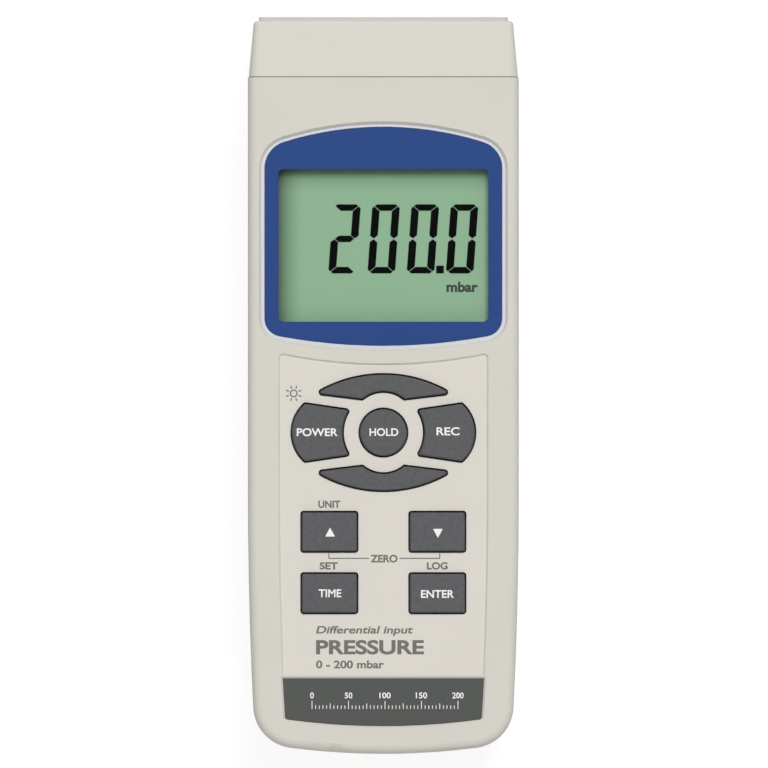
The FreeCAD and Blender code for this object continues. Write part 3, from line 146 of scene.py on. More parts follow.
class METER_colours(bpy.types.PropertyGroup):
    """Colours of the casing, the display, the keys and the print."""

    casing: colour_property("Casing", "Moulded casing", 212, 209, 200)
    cap: colour_property("Cap", "Moulded end cap", 214, 211, 202)
    plate: colour_property("Port plate", "Plate round the hose spigots", 203, 200, 195)
    panel: colour_property("Panel", "Film behind the keys", 218, 214, 205)
    # Painted highlight: the casing is paler and a little blue round the display's surround, in
    # place of a highlight and a reflection of the blue surround.
    rim_highlight: colour_property("Rim", "Polished rim round the display", 214, 214, 222)
    # Painted shade: a darker band on the end cap's lower edge, in place of the shadow line in the
    # joint.
    seam: colour_property("Seam", "Dust in the joint below the end cap", 168, 164, 155)
    bezel: colour_property("Bezel", "Display surround", 43, 72, 131)
    glass: colour_property("Display", "Liquid crystal display", 147, 185, 151)
    ink: colour_property("Display ink", "Strokes of the figures", 2, 4, 4)
    key: colour_property("Keys", "Silicone keys", 93, 93, 96)
    band: colour_property("Band", "Band below the keys", 84, 86, 84)
    print_dark: colour_property("Dark print", "Lettering on the panel", 100, 98, 94)
    print_light: colour_property("Light print", "Lettering on the keys", 240, 240, 238)


# Shader groups

VECTOR, COLOUR, NUMBER = "NodeSocketVector", "NodeSocketColor", "NodeSocketFloat"
GREY = (0.5, 0.5, 0.5, 1)
SHADE_CURVE = 1.5  # how fast the display's shade fades
BROAD_BLOTS = 0.022  # size of the soft mottling of most surfaces


def new_group(name, inputs, outputs):
    """An empty shader group and its sockets. An input is (name, kind, value)."""
    tree = bpy.data.node_groups.new(name, "ShaderNodeTree")
    for title, kind, value in inputs:
        socket = tree.interface.new_socket(name=title, in_out="INPUT", socket_type=kind)
        socket.default_value = value
    for title, kind in outputs:
        tree.interface.new_socket(name=title, in_out="OUTPUT", socket_type=kind)
    given = tree.nodes.new("NodeGroupInput")
    result = tree.nodes.new("NodeGroupOutput")
    return tree, given.outputs, result.inputs


def add(tree, kind, links=None, **settings):
    """A node with its settings, and its inputs linked or set."""
    node = tree.nodes.new(kind)
    for name, value in settings.items():
        setattr(node, name, value)
    for name, value in (links or {}).items():
        if isinstance(value, bpy.types.NodeSocket):
            tree.links.new(value, node.inputs[name])
        else:
            node.inputs[name].default_value = value
    return node


def calc(tree, operation, *values):
    """The result of a sum on numbers or sockets."""
    links = dict(enumerate(values))
    return add(tree, "ShaderNodeMath", links, operation=operation).outputs[0]


def vector_calc(tree, operation, links):
    """The result of a sum on vectors or colours."""
    return add(tree, "ShaderNodeVectorMath", links, operation=operation).outputs["Vector"]


def group_node(tree, name, links):
    """A shader group placed in a material."""
    return add(tree, "ShaderNodeGroup", links, node_tree=bpy.data.node_groups[name])


def grain_group():
    """Fine grain and soft mottling of a moulded or rubber surface, from its own coordinates."""
    tree, given, result = new_group(
        "moulded grain",
        [
            ("Vector", VECTOR, (0, 0, 0)),
            ("Color", COLOUR, GREY),
            ("Grain size", NUMBER, 0.0006),
            ("Mottling", NUMBER, 0.03),
            ("Mottling size", NUMBER, BROAD_BLOTS),
            ("Roughness", NUMBER, 0.5),
            ("Roughness spread", NUMBER, 0.08),
        ],
        [("Color", COLOUR), ("Roughness", NUMBER), ("Height", NUMBER)],
    )
    fine = add(
        tree,
        "ShaderNodeTexNoise",
        {
            "Vector": given["Vector"],
            "Scale": calc(tree, "DIVIDE", 1.0, given["Grain size"]),
            "Detail": 3.0,
            "Roughness": 0.55,
        },
    ).outputs["Fac"]
    soft = add(
        tree,
        "ShaderNodeTexNoise",
        {
            "Vector": given["Vector"],
            "Scale": calc(tree, "DIVIDE", 1.0, given["Mottling size"]),
            "Detail": 4.0,
        },
    ).outputs["Fac"]
    shade = add(
        tree,
        "ShaderNodeMapRange",
        {
            "Value": soft,
            "From Min": 0.3,
            "From Max": 0.7,
            "To Min": calc(tree, "SUBTRACT", 1.0, given["Mottling"]),
            "To Max": calc(tree, "ADD", 1.0, given["Mottling"]),
        },
    ).outputs["Result"]
    tint = vector_calc(tree, "SCALE", {0: given["Color"], "Scale": shade})
    spread = calc(tree, "ADD", fine, -0.5)
    rough = calc(tree, "MULTIPLY_ADD", spread, given["Roughness spread"], given["Roughness"])
    tree.links.new(tint, result["Color"])
    tree.links.new(rough, result["Roughness"])
    tree.links.new(fine, result["Height"])


def shade_group():
    """A display's colour, softly darkened at the left and the top, where its frame is over it."""
    tree, given, result = new_group(
        "frame shade",
        [
            ("Vector", VECTOR, (0, 0, 0)),
            ("Color", COLOUR, GREY),
            ("Left", NUMBER, 0),
            ("Top", NUMBER, 0),
            ("Reach", NUMBER, 0.006),
            ("Left depth", NUMBER, 0.6),
            ("Top depth", NUMBER, 0.6),
        ],
        [("Color", COLOUR)],
    )
    place = add(tree, "ShaderNodeSeparateXYZ", {"Vector": given["Vector"]}).outputs
    from_left = calc(tree, "SUBTRACT", place["X"], given["Left"])
    from_top = calc(tree, "SUBTRACT", given["Top"], place["Y"])
    tint = given["Color"]
    for distance, depth in ((from_left, "Left depth"), (from_top, "Top depth")):
        nearness = add(
            tree,
            "ShaderNodeMapRange",
            {"Value": distance, "From Max": given["Reach"], "To Min": 1.0, "To Max": 0.0},
        ).outputs["Result"]
        dark = calc(tree, "MULTIPLY", calc(tree, "POWER", nearness, SHADE_CURVE), given[depth])
        light = calc(tree, "SUBTRACT", 1.0, dark)
        tint = vector_calc(tree, "SCALE", {0: tint, "Scale": light})
    tree.links.new(tint, result["Color"])


def recess_group():
    """A second colour on what lies inside an upright box."""
    tree, given, result = new_group(
        "recess tint",
        [
            ("Vector", VECTOR, (0, 0, 0)),
            ("Color", COLOUR, GREY),
            ("Tint", COLOUR, GREY),
            ("Middle", VECTOR, (0, 0, 0)),
            ("Half size", VECTOR, (0.03, 0.03, 0.03)),
        ],
        [("Color", COLOUR)],
    )
    place = vector_calc(tree, "SUBTRACT", {0: given["Vector"], 1: given["Middle"]})
    reach = vector_calc(tree, "ABSOLUTE", {0: place})
    room = vector_calc(tree, "SUBTRACT", {0: given["Half size"], 1: reach})
    part = add(tree, "ShaderNodeSeparateXYZ", {"Vector": room}).outputs
    least = calc(tree, "MINIMUM", calc(tree, "MINIMUM", part["X"], part["Y"]), part["Z"])
    mix = add(
        tree,
        "ShaderNodeMix",
        {
            "Factor": calc(tree, "GREATER_THAN", least, 0.0),
            "A": given["Color"],
            "B": given["Tint"],
        },
        data_type="RGBA",
    )
    tree.links.new(mix.outputs["Result"], result["Color"])


# Materials

# Each finish: its colour, its grain's size, mottling, roughness, the roughness's spread, the
# bump's height, metallic and specular level. A colour in quotes is one of METER_colours, and a
# grain of None is the size in METER_sizes.
MOULDED = (None, 0.014, 0.60, 0.08, 0.000016, 0.0, 0.20)
FINISHES = {
    "casing": ("casing", *MOULDED),
    "casing_cover": ("casing", *MOULDED),
    "stand": ("casing", *MOULDED),
    "casing_cap": ("cap", *MOULDED),
    "port_plate": ("plate", *MOULDED),
    "overlay": ("panel", None, 0.010, 0.55, 0.08, 0.000006, 0.0, 0.20),
    "bezel": ("bezel", 0.0008, 0.012, 0.42, 0.05, 0.000005, 0.0, 0.08),
    "key": ("key", 0.0005, 0.09, 0.62, 0.10, 0.000014, 0.0, 0.1),
    "band": ("band", 0.0006, 0.02, 0.50, 0.06, 0.000006, 0.0, 0.1),
    "lcd_ink": ("ink", 0.0006, 0.02, 0.45, 0.05, 0.000003, 0.0, 0.02),
    "print_dark": ("print_dark", 0.0004, 0.03, 0.55, 0.06, 0.000003, 0.0, 0.5),
    "print_light": ("print_light", 0.0004, 0.02, 0.55, 0.06, 0.000003, 0.0, 0.5),
    "port_brass": ((0.62, 0.61, 0.57), 0.0003, 0.03, 0.28, 0.10, 0.000004, 1.0, 0.5),
    "brass": ((0.62, 0.45, 0.20), 0.0003, 0.04, 0.32, 0.10, 0.000004, 1.0, 0.5),
    "steel": ((0.56, 0.57, 0.58), 0.0003, 0.04, 0.34, 0.12, 0.000004, 1.0, 0.5),
    "seal": ((0.02, 0.02, 0.022), 0.0004, 0.05, 0.72, 0.10, 0.000010, 0.0, 0.4),
    "hose": ((0.60, 0.60, 0.56), 0.0006, 0.03, 0.30, 0.08, 0.000006, 0.0, 0.5),
    "sensor": ((0.72, 0.71, 0.66), 0.0005, 0.03, 0.45, 0.08, 0.000008, 0.0, 0.5),
    "inner_plastic": ((0.13, 0.16, 0.135), 0.0005, 0.04, 0.60, 0.08, 0.000010, 0.0, 0.4),
    "diffuser": ((0.80, 0.81, 0.77), 0.0006, 0.02, 0.40, 0.06, 0.000006, 0.0, 0.5),
    "board": ((0.02, 0.14, 0.06), 0.0004, 0.06, 0.35, 0.10, 0.000008, 0.0, 0.5),
    "chip": ((0.02, 0.02, 0.02), 0.0003, 0.05, 0.55, 0.10, 0.000008, 0.0, 0.5),
    "socket": ((0.018, 0.018, 0.019), 0.0003, 0.05, 0.42, 0.10, 0.000008, 0.0, 0.5),
    "mat": ((0.02, 0.02, 0.021), 0.0005, 0.05, 0.75, 0.08, 0.000012, 0.0, 0.4),
    "pill": ((0.01, 0.01, 0.01), 0.0003, 0.05, 0.80, 0.08, 0.000008, 0.0, 0.3),
    "cell_jacket": ((0.04, 0.04, 0.045), 0.0006, 0.04, 0.28, 0.06, 0.000006, 0.0, 0.5),
    "contact": ((0.60, 0.58, 0.54), 0.0003, 0.04, 0.30, 0.10, 0.000004, 1.0, 0.5),
}
BLOTS = {"key": 0.0012}  # the finishes whose mottling is finer than BROAD_BLOTS
RIM_HIGHLIGHT_REACH = Vector((0.0014, 0.0014, 0))  # how far the painted highlight reaches round the display's surround
# Width of the painted shade on the end cap's lower edge, at its joint with the shells.
SEAM_SHADE_WIDTH = 0.0003
WINDOW = {"Base Color": (0.05, 0.055, 0.05, 1), "Specular IOR Level": 0.04, "Alpha": 0.02}
WINDOW_HAZE = {"Scale": 160.0, "Detail": 2.0}
WINDOW_ROUGHNESS = {"To Min": 0.03, "To Max": 0.09}
DISPLAY_GRAIN = {
    "Grain size": 0.0009, "Mottling": 0.012, "Roughness": 0.45, "Roughness spread": 0.05
}
DISPLAY_SHADE = {"Reach": 0.0068, "Left depth": 0.64, "Top depth": 0.50}
DISPLAY_SPECULAR = 0.06


def principled(name):
    """A new material, its tree, its Principled shader and its Object coordinates."""
    material = bpy.data.materials.new(name)
    material.use_nodes = True
    tree = material.node_tree
    place = tree.nodes.new("ShaderNodeTexCoord")
    return material, tree, tree.nodes["Principled BSDF"], place.outputs["Object"]


def grained(name, colour, grain, mottling, roughness, spread, bump, metallic, specular):
    """A moulded, rubber, printed or metal finish with fine grain."""
    material, tree, shader, place = principled(name)
    group = group_node(
        tree,
        "moulded grain",
        {
            "Vector": place,
            "Color": (*colour, 1),
            "Grain size": grain,
            "Mottling": mottling,
            "Mottling size": BLOTS.get(name, BROAD_BLOTS),
            "Roughness": roughness,
            "Roughness spread": spread,
        },
    )
    relief = add(
        tree,
        "ShaderNodeBump",
        {"Height": group.outputs["Height"], "Distance": bump, "Strength": 1.0},
    )
    tree.links.new(group.outputs["Color"], shader.inputs["Base Color"])
    tree.links.new(group.outputs["Roughness"], shader.inputs["Roughness"])
    tree.links.new(relief.outputs["Normal"], shader.inputs["Normal"])
    shader.inputs["Metallic"].default_value = metallic
    shader.inputs["Specular IOR Level"].default_value = specular
    return material


def tint_recess(material, tint, low, high):
    """Paints what lies between two corners in a second colour: here the painted highlight round
    the display and the painted shade at the end cap's joint.
    """
    tree = material.node_tree
    base = tree.nodes["Principled BSDF"].inputs["Base Color"]
    tinted = group_node(
        tree,
        "recess tint",
        {
            "Vector": tree.nodes["Texture Coordinate"].outputs["Object"],
            "Color": base.links[0].from_socket,
            "Tint": (*tint, 1),
            "Middle": (low + high) / 2,
            "Half size": (high - low) / 2,
        },
    )
    tree.links.new(tinted.outputs["Color"], base)


def clear_window(name):
    """A clear plastic window that lets light down to the display."""
    material, tree, shader, place = principled(name)
    haze = add(tree, "ShaderNodeTexNoise", {"Vector": place, **WINDOW_HAZE})
    rough = add(tree, "ShaderNodeMapRange", {"Value": haze.outputs["Fac"], **WINDOW_ROUGHNESS})
    tree.links.new(rough.outputs["Result"], shader.inputs["Roughness"])
    for title, value in WINDOW.items():
        shader.inputs[title].default_value = value
    return material


def display_glass(name, colour, covered):
    """The display's grey-green glass, shaded where its frame stands over it."""
    material, tree, shader, place = principled(name)
    lens_low, lens_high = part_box("display_lens")
    grain = group_node(
        tree, "moulded grain", {"Vector": place, "Color": (*colour, 1), **DISPLAY_GRAIN}
    )
    shade = group_node(
        tree,
        "frame shade",
        {
            "Vector": place,
            "Color": grain.outputs["Color"],
            "Left": lens_low.x + covered,
            "Top": lens_high.y - covered,
            **DISPLAY_SHADE,
        },
    )
    tree.links.new(shade.outputs["Color"], shader.inputs["Base Color"])
    tree.links.new(grain.outputs["Roughness"], shader.inputs["Roughness"])
    shader.inputs["Specular IOR Level"].default_value = DISPLAY_SPECULAR
    return material


def make_materials(sizes, colours):
    """Every finish, keyed by the record's material slot or the print's name."""
    grain_group()
    shade_group()
    recess_group()
    made = {}
    for slot, (colour, grain, *rest) in FINISHES.items():
        if isinstance(colour, str):
            colour = getattr(colours, colour)
        made[slot] = grained(slot, colour, grain or sizes.grain, *rest)
    # Painted highlight: a paler, bluish colour on the casing round the display's surround.
    low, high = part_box("display_bezel")
    tint_recess(made["casing"], colours.rim_highlight, low - RIM_HIGHLIGHT_REACH, high + RIM_HIGHLIGHT_REACH)
    # Painted shade: a darker band on the end cap's lower edge, at its joint with the shells.
    low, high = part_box("top_cap")
    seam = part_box("front_shell")[1].y
    seam_shade_low = Vector((low.x, seam, low.z))
    seam_shade_high = Vector((high.x, seam + SEAM_SHADE_WIDTH, high.z))
    tint_recess(made["casing_cap"], colours.seam, seam_shade_low, seam_shade_high)
    made["lens"] = clear_window("lens")
    made["lcd"] = display_glass("lcd", colours.glass, sizes.covered)
    return made


def clothe(obj, material):
    """Gives an object its one material."""
    obj.data.materials.clear()
    obj.data.materials.append(material)


class METER_OT_finishes(bpy.types.Operator):
    """Gives every CAD node its procedural finish"""

    bl_idname = "meter.finishes"
    bl_label = "Finishes"

    def execute(self, context):
        scene = context.scene
        finishes = make_materials(scene.meter_sizes, scene.meter_colours)
        for entry in frame["record"]["subparts"]:
            clothe(frame["nodes"][entry["node"]], finishes[entry["material_slot"]])
        return {"FINISHED"}


# New pieces


def closed_mesh(name, shape):
    """A mesh from a bmesh, with its faces turned outwards."""
    bmesh.ops.recalc_face_normals(shape, faces=shape.faces[:])
    mesh = bpy.data.meshes.new(name)
    shape.to_mesh(mesh)
    shape.free()
    return mesh


def add_piece(name, mesh, body, material):
    """Makes a mesh a piece with a finish, riding on a body."""
    piece = bpy.data.objects.new(name, mesh)
    bpy.context.scene.collection.objects.link(piece)
    clothe(piece, bpy.data.materials[material])
    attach(piece, body)
    return piece


def new_verts(made):
    """The vertices in what an extrusion made."""
    return [part for part in made["geom"] if isinstance(part, bmesh.types.BMVert)]


# Printed marks. Their places are in pixels of the picture's frame, x to the right and y down.

PICTURE = 768
GROUNDS = {
    # what is printed on: its level, the print's material, the record's slot
    "key": (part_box("key_hold")[1].z, "print_light", "key"),
    "panel": (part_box("panel_overlay")[1].z, "print_dark", "overlay"),
    "band": (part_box("name_band")[1].z, "print_light", "band"),
    "display": (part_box("lcd_glass")[1].z, "lcd_ink", "lcd_ink"),
}
LETTER_DEPTH = 0.01  # of a letter one unit high, before it is fitted into its box
KEY_WEIGHT = 0.02  # how far a letter's strokes are widened, in the same units
KEY_WORDS = [
    # name, words, (left, top, right, bottom), key
    ("power_word", "POWER", (296.8, 428.2, 337.7, 436.2), "key_power"),
    ("hold_word", "HOLD", (369.5, 428.2, 398.3, 436.0), "key_hold"),
    ("record_word", "REC", (436.5, 427.2, 459.5, 435.4), "key_record"),
    ("time_word", "TIME", (318.6, 589.2, 341.3, 597.2), "key_time"),
    ("enter_word", "ENTER", (421.0, 590.0, 454.0, 597.8), "key_enter"),
]
FACE_WORDS = [
    # name, words, (left, top, right, bottom), ground, weight, lean
    ("unit_word", "UNIT", (318.2, 500.6, 340.3, 508.0), "panel", 0.035, 0.0),
    ("set_word", "SET", (319.6, 562.2, 337.8, 569.6), "panel", 0.035, 0.0),
    ("log_word", "LOG", (426.9, 562.2, 447.7, 569.6), "panel", 0.035, 0.0),
    ("zero_word", "ZERO", (370.5, 554.8, 397.6, 562.6), "panel", 0.035, 0.0),
    ("kind_word", "Differential input", (316, 626, 413, 636), "panel", 0.022, 0.18),
    ("quantity_word", "PRESSURE", (316, 640, 424, 654.6), "panel", 0.032, 0.0),
    ("range_word", "0 - 200 mbar", (316, 660.5, 384, 668.6), "panel", 0.028, 0.0),
    ("unit_shown", "mbar", (446.6, 281.5, 478.2, 292.0), "display", 0.038, 0.0),
]


def pixel_place(x, y):
    """The place on the face that a pixel of the picture's frame shows."""
    sizes = bpy.context.scene.meter_sizes
    middle = PICTURE / 2
    return (x - middle) * sizes.pixel + sizes.aim[0], (middle - y) * sizes.pixel + sizes.aim[1]


def print_mark(name, mesh, ground, body):
    """Lays a thin mark on the surface that it is printed on."""
    level, material, slot = GROUNDS[ground]
    mesh.transform(Matrix.Translation((0, 0, level)))
    add_piece(name, mesh, body, material)


def letters(name, words, frame_box, ground, body="meter", weight=KEY_WEIGHT, lean=0.0):
    """Prints words that fill a box (left, top, right, bottom) of the picture's frame."""
    curve = bpy.data.curves.new(name, "FONT")
    curve.body = words
    curve.size = 1.0
    curve.bevel_depth = weight
    curve.shear = lean
    curve.extrude = LETTER_DEPTH
    source = bpy.data.objects.new(name + "_curve", curve)
    bpy.context.scene.collection.objects.link(source)
    graph = bpy.context.evaluated_depsgraph_get()
    mesh = bpy.data.meshes.new_from_object(source.evaluated_get(graph))
    bpy.data.objects.remove(source)
    bpy.data.curves.remove(curve)
    left, top = pixel_place(*frame_box[:2])
    right, bottom = pixel_place(*frame_box[2:])
    xs, ys, zs = zip(*(vertex.co for vertex in mesh.vertices))
    scale = (
        (right - left) / (max(xs) - min(xs)),
        (top - bottom) / (max(ys) - min(ys)),
        bpy.context.scene.meter_sizes.ink / (max(zs) - min(zs)),
    )
    mesh.transform(Matrix.Translation((-min(xs), -min(ys), -min(zs))))
    mesh.transform(Matrix.Diagonal((*scale, 1)))
    mesh.transform(Matrix.Translation((left, bottom, 0)))
    print_mark(name, mesh, ground, body)


class METER_OT_lettering(bpy.types.Operator):
    """Prints the words on the keys, the panel and the display"""

    bl_idname = "meter.lettering"
    bl_label = "Lettering"

    def execute(self, context):
        for name, words, place, key in KEY_WORDS:
            letters(name, words, place, "key", key)
        for name, words, place, ground, weight, lean in FACE_WORDS:
            letters(name, words, place, ground, weight=weight, lean=lean)
        return {"FINISHED"}


ARROWS = [
    # name, key, middle, points down
    ("up_arrow", "key_up", (330.1, 532.0), False),
    ("down_arrow", "key_down", (437.9, 533.3), True),
]
ARROW_WIDTH, ARROW_HEIGHT = 9.8, 9.0
LAMP_SIGN_PLACE = (293.7, 393.4)
LAMP_SIGN_RADIUS = 3.9
LAMP_SIGN_LINE = 0.00034
RAY_START, RAY_END, RAYS = 5.2, 8.2, 8
BRACKET_LEVEL, BRACKET_FOOT = 558.4, 553.2
BRACKET_ARMS = ((328.9, 369.2), (439.8, 399.6))  # outer end, inner end
SCALE_START, SCALE_END, SCALE_FOOT = 312, 458, 709.0
SCALE_STEPS, SCALE_FIGURES, FIGURE_STEP = 40, 4, 50
TICK_HEIGHTS = ((10, 8.0), (5, 5.5), (1, 3.5))  # every so many steps, height
TICK_WIDTH = 0.0002
FIGURE_TOP, FIGURE_FOOT, FIGURE_HALF_WIDTH = 692.5, 698.5, 1.9


def raised_mark(name, ground, body, build, *values):
    """Prints a mark whose flat faces a function adds to a bmesh."""
    shape = bmesh.new()
    build(shape, *values)
    raised = new_verts(bmesh.ops.extrude_face_region(shape, geom=shape.faces[:]))
    bmesh.ops.translate(shape, verts=raised, vec=(0, 0, bpy.context.scene.meter_sizes.ink))
    print_mark(name, closed_mesh(name, shape), ground, body)


def bar(shape, start, end, width):
    """A straight line between two points, as one face."""
    start, end = Vector((*start, 0)), Vector((*end, 0))
    along = end - start
    made = bmesh.ops.create_grid(shape, x_segments=1, y_segments=1, size=0.5)
    place = Matrix.Translation((start + end) / 2)
    turn = Matrix.Rotation(math.atan2(along.y, along.x), 4, "Z")
    stretch = Matrix.Diagonal((along.length, width, 1, 1))
    bmesh.ops.transform(shape, matrix=place @ turn @ stretch, verts=made["verts"])


def triangle(shape, place, width, height, down):
    """An arrow head that points up, or down."""
    made = bmesh.ops.create_circle(shape, cap_ends=True, segments=3, radius=1)
    xs, ys, _ = zip(*(vertex.co for vertex in made["verts"]))
    flip = -1 if down else 1
    middle = Matrix.Translation((0, -(max(ys) + min(ys)) / 2, 0))
    scale = Matrix.Diagonal(
        (width / (max(xs) - min(xs)), flip * height / (max(ys) - min(ys)), 1, 1)
    )
    bmesh.ops.transform(
        shape, matrix=Matrix.Translation((*place, 0)) @ scale @ middle, verts=made["verts"]
    )
    bmesh.ops.recalc_face_normals(shape, faces=shape.faces[:])


def lamp_sign(shape):
    """A round lamp with rays, the sign for the display's light."""
    centre = Vector(pixel_place(*LAMP_SIGN_PLACE))
    pixel = bpy.context.scene.meter_sizes.pixel
    radius = LAMP_SIGN_RADIUS * pixel
    outer = bmesh.ops.create_circle(shape, segments=48, radius=radius, cap_ends=False)
    inner = new_verts(bmesh.ops.extrude_edge_only(shape, edges=shape.edges[:]))
    share = 1 - LAMP_SIGN_LINE / radius
    bmesh.ops.scale(shape, vec=(share, share, 1), verts=inner)
    bmesh.ops.translate(shape, vec=(*centre, 0), verts=outer["verts"] + inner)
    for number in range(RAYS):
        angle = (2 * number + 1) * math.pi / RAYS
        way = Vector((math.cos(angle), math.sin(angle))) * pixel
        bar(shape, centre + way * RAY_START, centre + way * RAY_END, LAMP_SIGN_LINE)


def bracket(shape):
    """The line that joins the two arrow keys to the word between them."""
    line = bpy.context.scene.meter_sizes.line
    for outer, inner in BRACKET_ARMS:
        corner = pixel_place(outer, BRACKET_LEVEL)
        bar(shape, pixel_place(outer, BRACKET_FOOT), corner, line)
        bar(shape, corner, pixel_place(inner, BRACKET_LEVEL), line)


def scale_x(share):
    """The place of a share of the scale's length."""
    return SCALE_START + (SCALE_END - SCALE_START) * share


def scale_ticks(shape):
    """A plain scale along the band."""
    for number in range(SCALE_STEPS + 1):
        x = scale_x(number / SCALE_STEPS)
        tall = next(height for every, height in TICK_HEIGHTS if number % every == 0)
        bar(shape, pixel_place(x, SCALE_FOOT), pixel_place(x, SCALE_FOOT - tall), TICK_WIDTH)


class METER_OT_marks(bpy.types.Operator):
    """Prints the arrows, the lamp sign, the bracket and the plain scale"""

    bl_idname = "meter.marks"
    bl_label = "Marks"

    def execute(self, context):
        pixel = context.scene.meter_sizes.pixel
        size = (ARROW_WIDTH * pixel, ARROW_HEIGHT * pixel)
        for name, key, middle, down in ARROWS:
            raised_mark(name, "key", key, triangle, pixel_place(*middle), *size, down)
        raised_mark("lamp_sign", "panel", "meter", lamp_sign)
        raised_mark("zero_bracket", "panel", "meter", bracket)
        raised_mark("band_scale", "band", "meter", scale_ticks)
        for number in range(SCALE_FIGURES + 1):
            x = scale_x(number / SCALE_FIGURES)
            words = str(number * FIGURE_STEP)
            half = FIGURE_HALF_WIDTH * len(words)
            place = (x - half, FIGURE_TOP, x + half, FIGURE_FOOT)
            letters(f"scale_figure_{number}", words, place, "band")
        return {"FINISHED"}


# Screws and threads

# Shares of a screw head's radius
CROSS_REACH = 0.56
CROWN_RADIUS = 0.84
CROSS_TAPER = 0.72  # the cross recess's floor, as a share of its mouth
# Shares of a screw head's height
CROSS_DEPTH = 0.62
CROWN_DROP = 0.28  # the rounded edge; the rest is the head's straight side
SHANK_TAPER = 0.9
FIRST_TWIST, NEXT_TWIST = 0.35, 1.1  # how far each screw was turned home, in radians
THREAD_STEPS = 24  # in a turn
THREAD_FOOT = 0.8  # width of the ridge's foot, as a share of the pitch


def cross_screw(shape, head, height, shank, length):
    """Adds a pan-headed screw with a cross recess, its head's face at the origin and up."""
    reach = head * CROSS_REACH
    grid = bmesh.ops.create_grid(shape, x_segments=3, y_segments=3, size=reach)
    made = set(grid["verts"])
    squares = [face for face in shape.faces if set(face.verts) <= made]
    corners = [
        face
        for face in squares
        if min(abs(part) for part in face.calc_center_median().xy) > reach / 3
    ]
    bmesh.ops.delete(shape, geom=corners, context="FACES")
    cross = [face for face in squares if face.is_valid]
    border = [edge for edge in shape.edges if edge.is_boundary and set(edge.verts) <= made]
    radius = head * CROWN_RADIUS
    crown = set(bmesh.ops.create_circle(shape, segments=32, radius=radius)["verts"])
    ring = [edge for edge in shape.edges if set(edge.verts) <= crown]
    bmesh.ops.triangle_fill(shape, edges=border + ring, use_beauty=True)
    floor = new_verts(bmesh.ops.extrude_face_region(shape, geom=cross))
    bmesh.ops.translate(shape, verts=floor, vec=(0, 0, -height * CROSS_DEPTH))
    bmesh.ops.scale(shape, verts=floor, vec=(CROSS_TAPER, CROSS_TAPER, 1))
    bmesh.ops.delete(shape, geom=cross, context="FACES")
    steps = (
        (head, height * CROWN_DROP),
        (head, height * (1 - CROWN_DROP)),
        (shank, 0.0),
        (shank * SHANK_TAPER, length),
    )
    for wide, down in steps:
        drawn = bmesh.ops.extrude_edge_only(shape, edges=ring)
        verts = new_verts(drawn)
        ring = [
            part
            for part in drawn["geom"]
            if isinstance(part, bmesh.types.BMEdge) and set(part.verts) <= set(verts)
        ]
        bmesh.ops.scale(shape, verts=verts, vec=(wide / radius, wide / radius, 1))
        bmesh.ops.translate(shape, verts=verts, vec=(0, 0, -down))
        radius = wide
    bmesh.ops.contextual_create(shape, geom=ring)


def screw_set(node, places, turn, head, height, shank, length):
    """Cross-headed screws in the places of a CAD node's plain ones."""
    shape = bmesh.new()
    for number, place in enumerate(places):
        for vertex in shape.verts:
            vertex.tag = True
        cross_screw(shape, head, height, shank, length)
        fresh = [vertex for vertex in shape.verts if not vertex.tag]
        twist = Matrix.Rotation(FIRST_TWIST + NEXT_TWIST * number, 4, "Z")
        matrix = Matrix.Translation(place) @ turn @ twist
        bmesh.ops.transform(shape, matrix=matrix, verts=fresh)
    name = node + "_crossed"
    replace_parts(add_piece(name, closed_mesh(name, shape), "meter", "steel"), node)


class METER_OT_screws(bpy.types.Operator):
    """Gives the screws that show their cross recesses"""

    bl_idname = "meter.screws"
    bl_label = "Screws"

    def execute(self, context):
        sizes = context.scene.meter_sizes
        height, shank = sizes.small_head, sizes.small_shank
        to_end = Matrix.Rotation(-math.pi / 2, 4, "X")
        to_back = Matrix.Rotation(math.pi, 4, "X")

        low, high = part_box("port_plate_screws")
        head = (high.z - low.z) / 2
        x, z = high.x - head, (high.z + low.z) / 2
        places = [Vector((side * x, high.y, z)) for side in (-1, 1)]
        length = high.y - low.y - height
        screw_set("port_plate_screws", places, to_end, head, height, shank, length)

        low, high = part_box("cover_screws")
        head = (high.y - low.y) / 2
        x, y = high.x - head, (high.y + low.y) / 2
        places = [Vector((side * x, y, low.z)) for side in (-1, 1)]
        length = high.z - low.z - height
        screw_set("cover_screws", places, to_back, head, height, shank, length)

        low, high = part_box("case_screws")
        head, height = sizes.case_head, sizes.case_head_height
        rows = ((high.x - head, high.y - head), (sizes.foot_screws / 2, low.y + head))
        places = [Vector((side * x, y, low.z)) for x, y in rows for side in (-1, 1)]
        length = high.z - low.z - height
        screw_set("case_screws", places, to_back, head, height, sizes.case_shank, length)
        return {"FINISHED"}


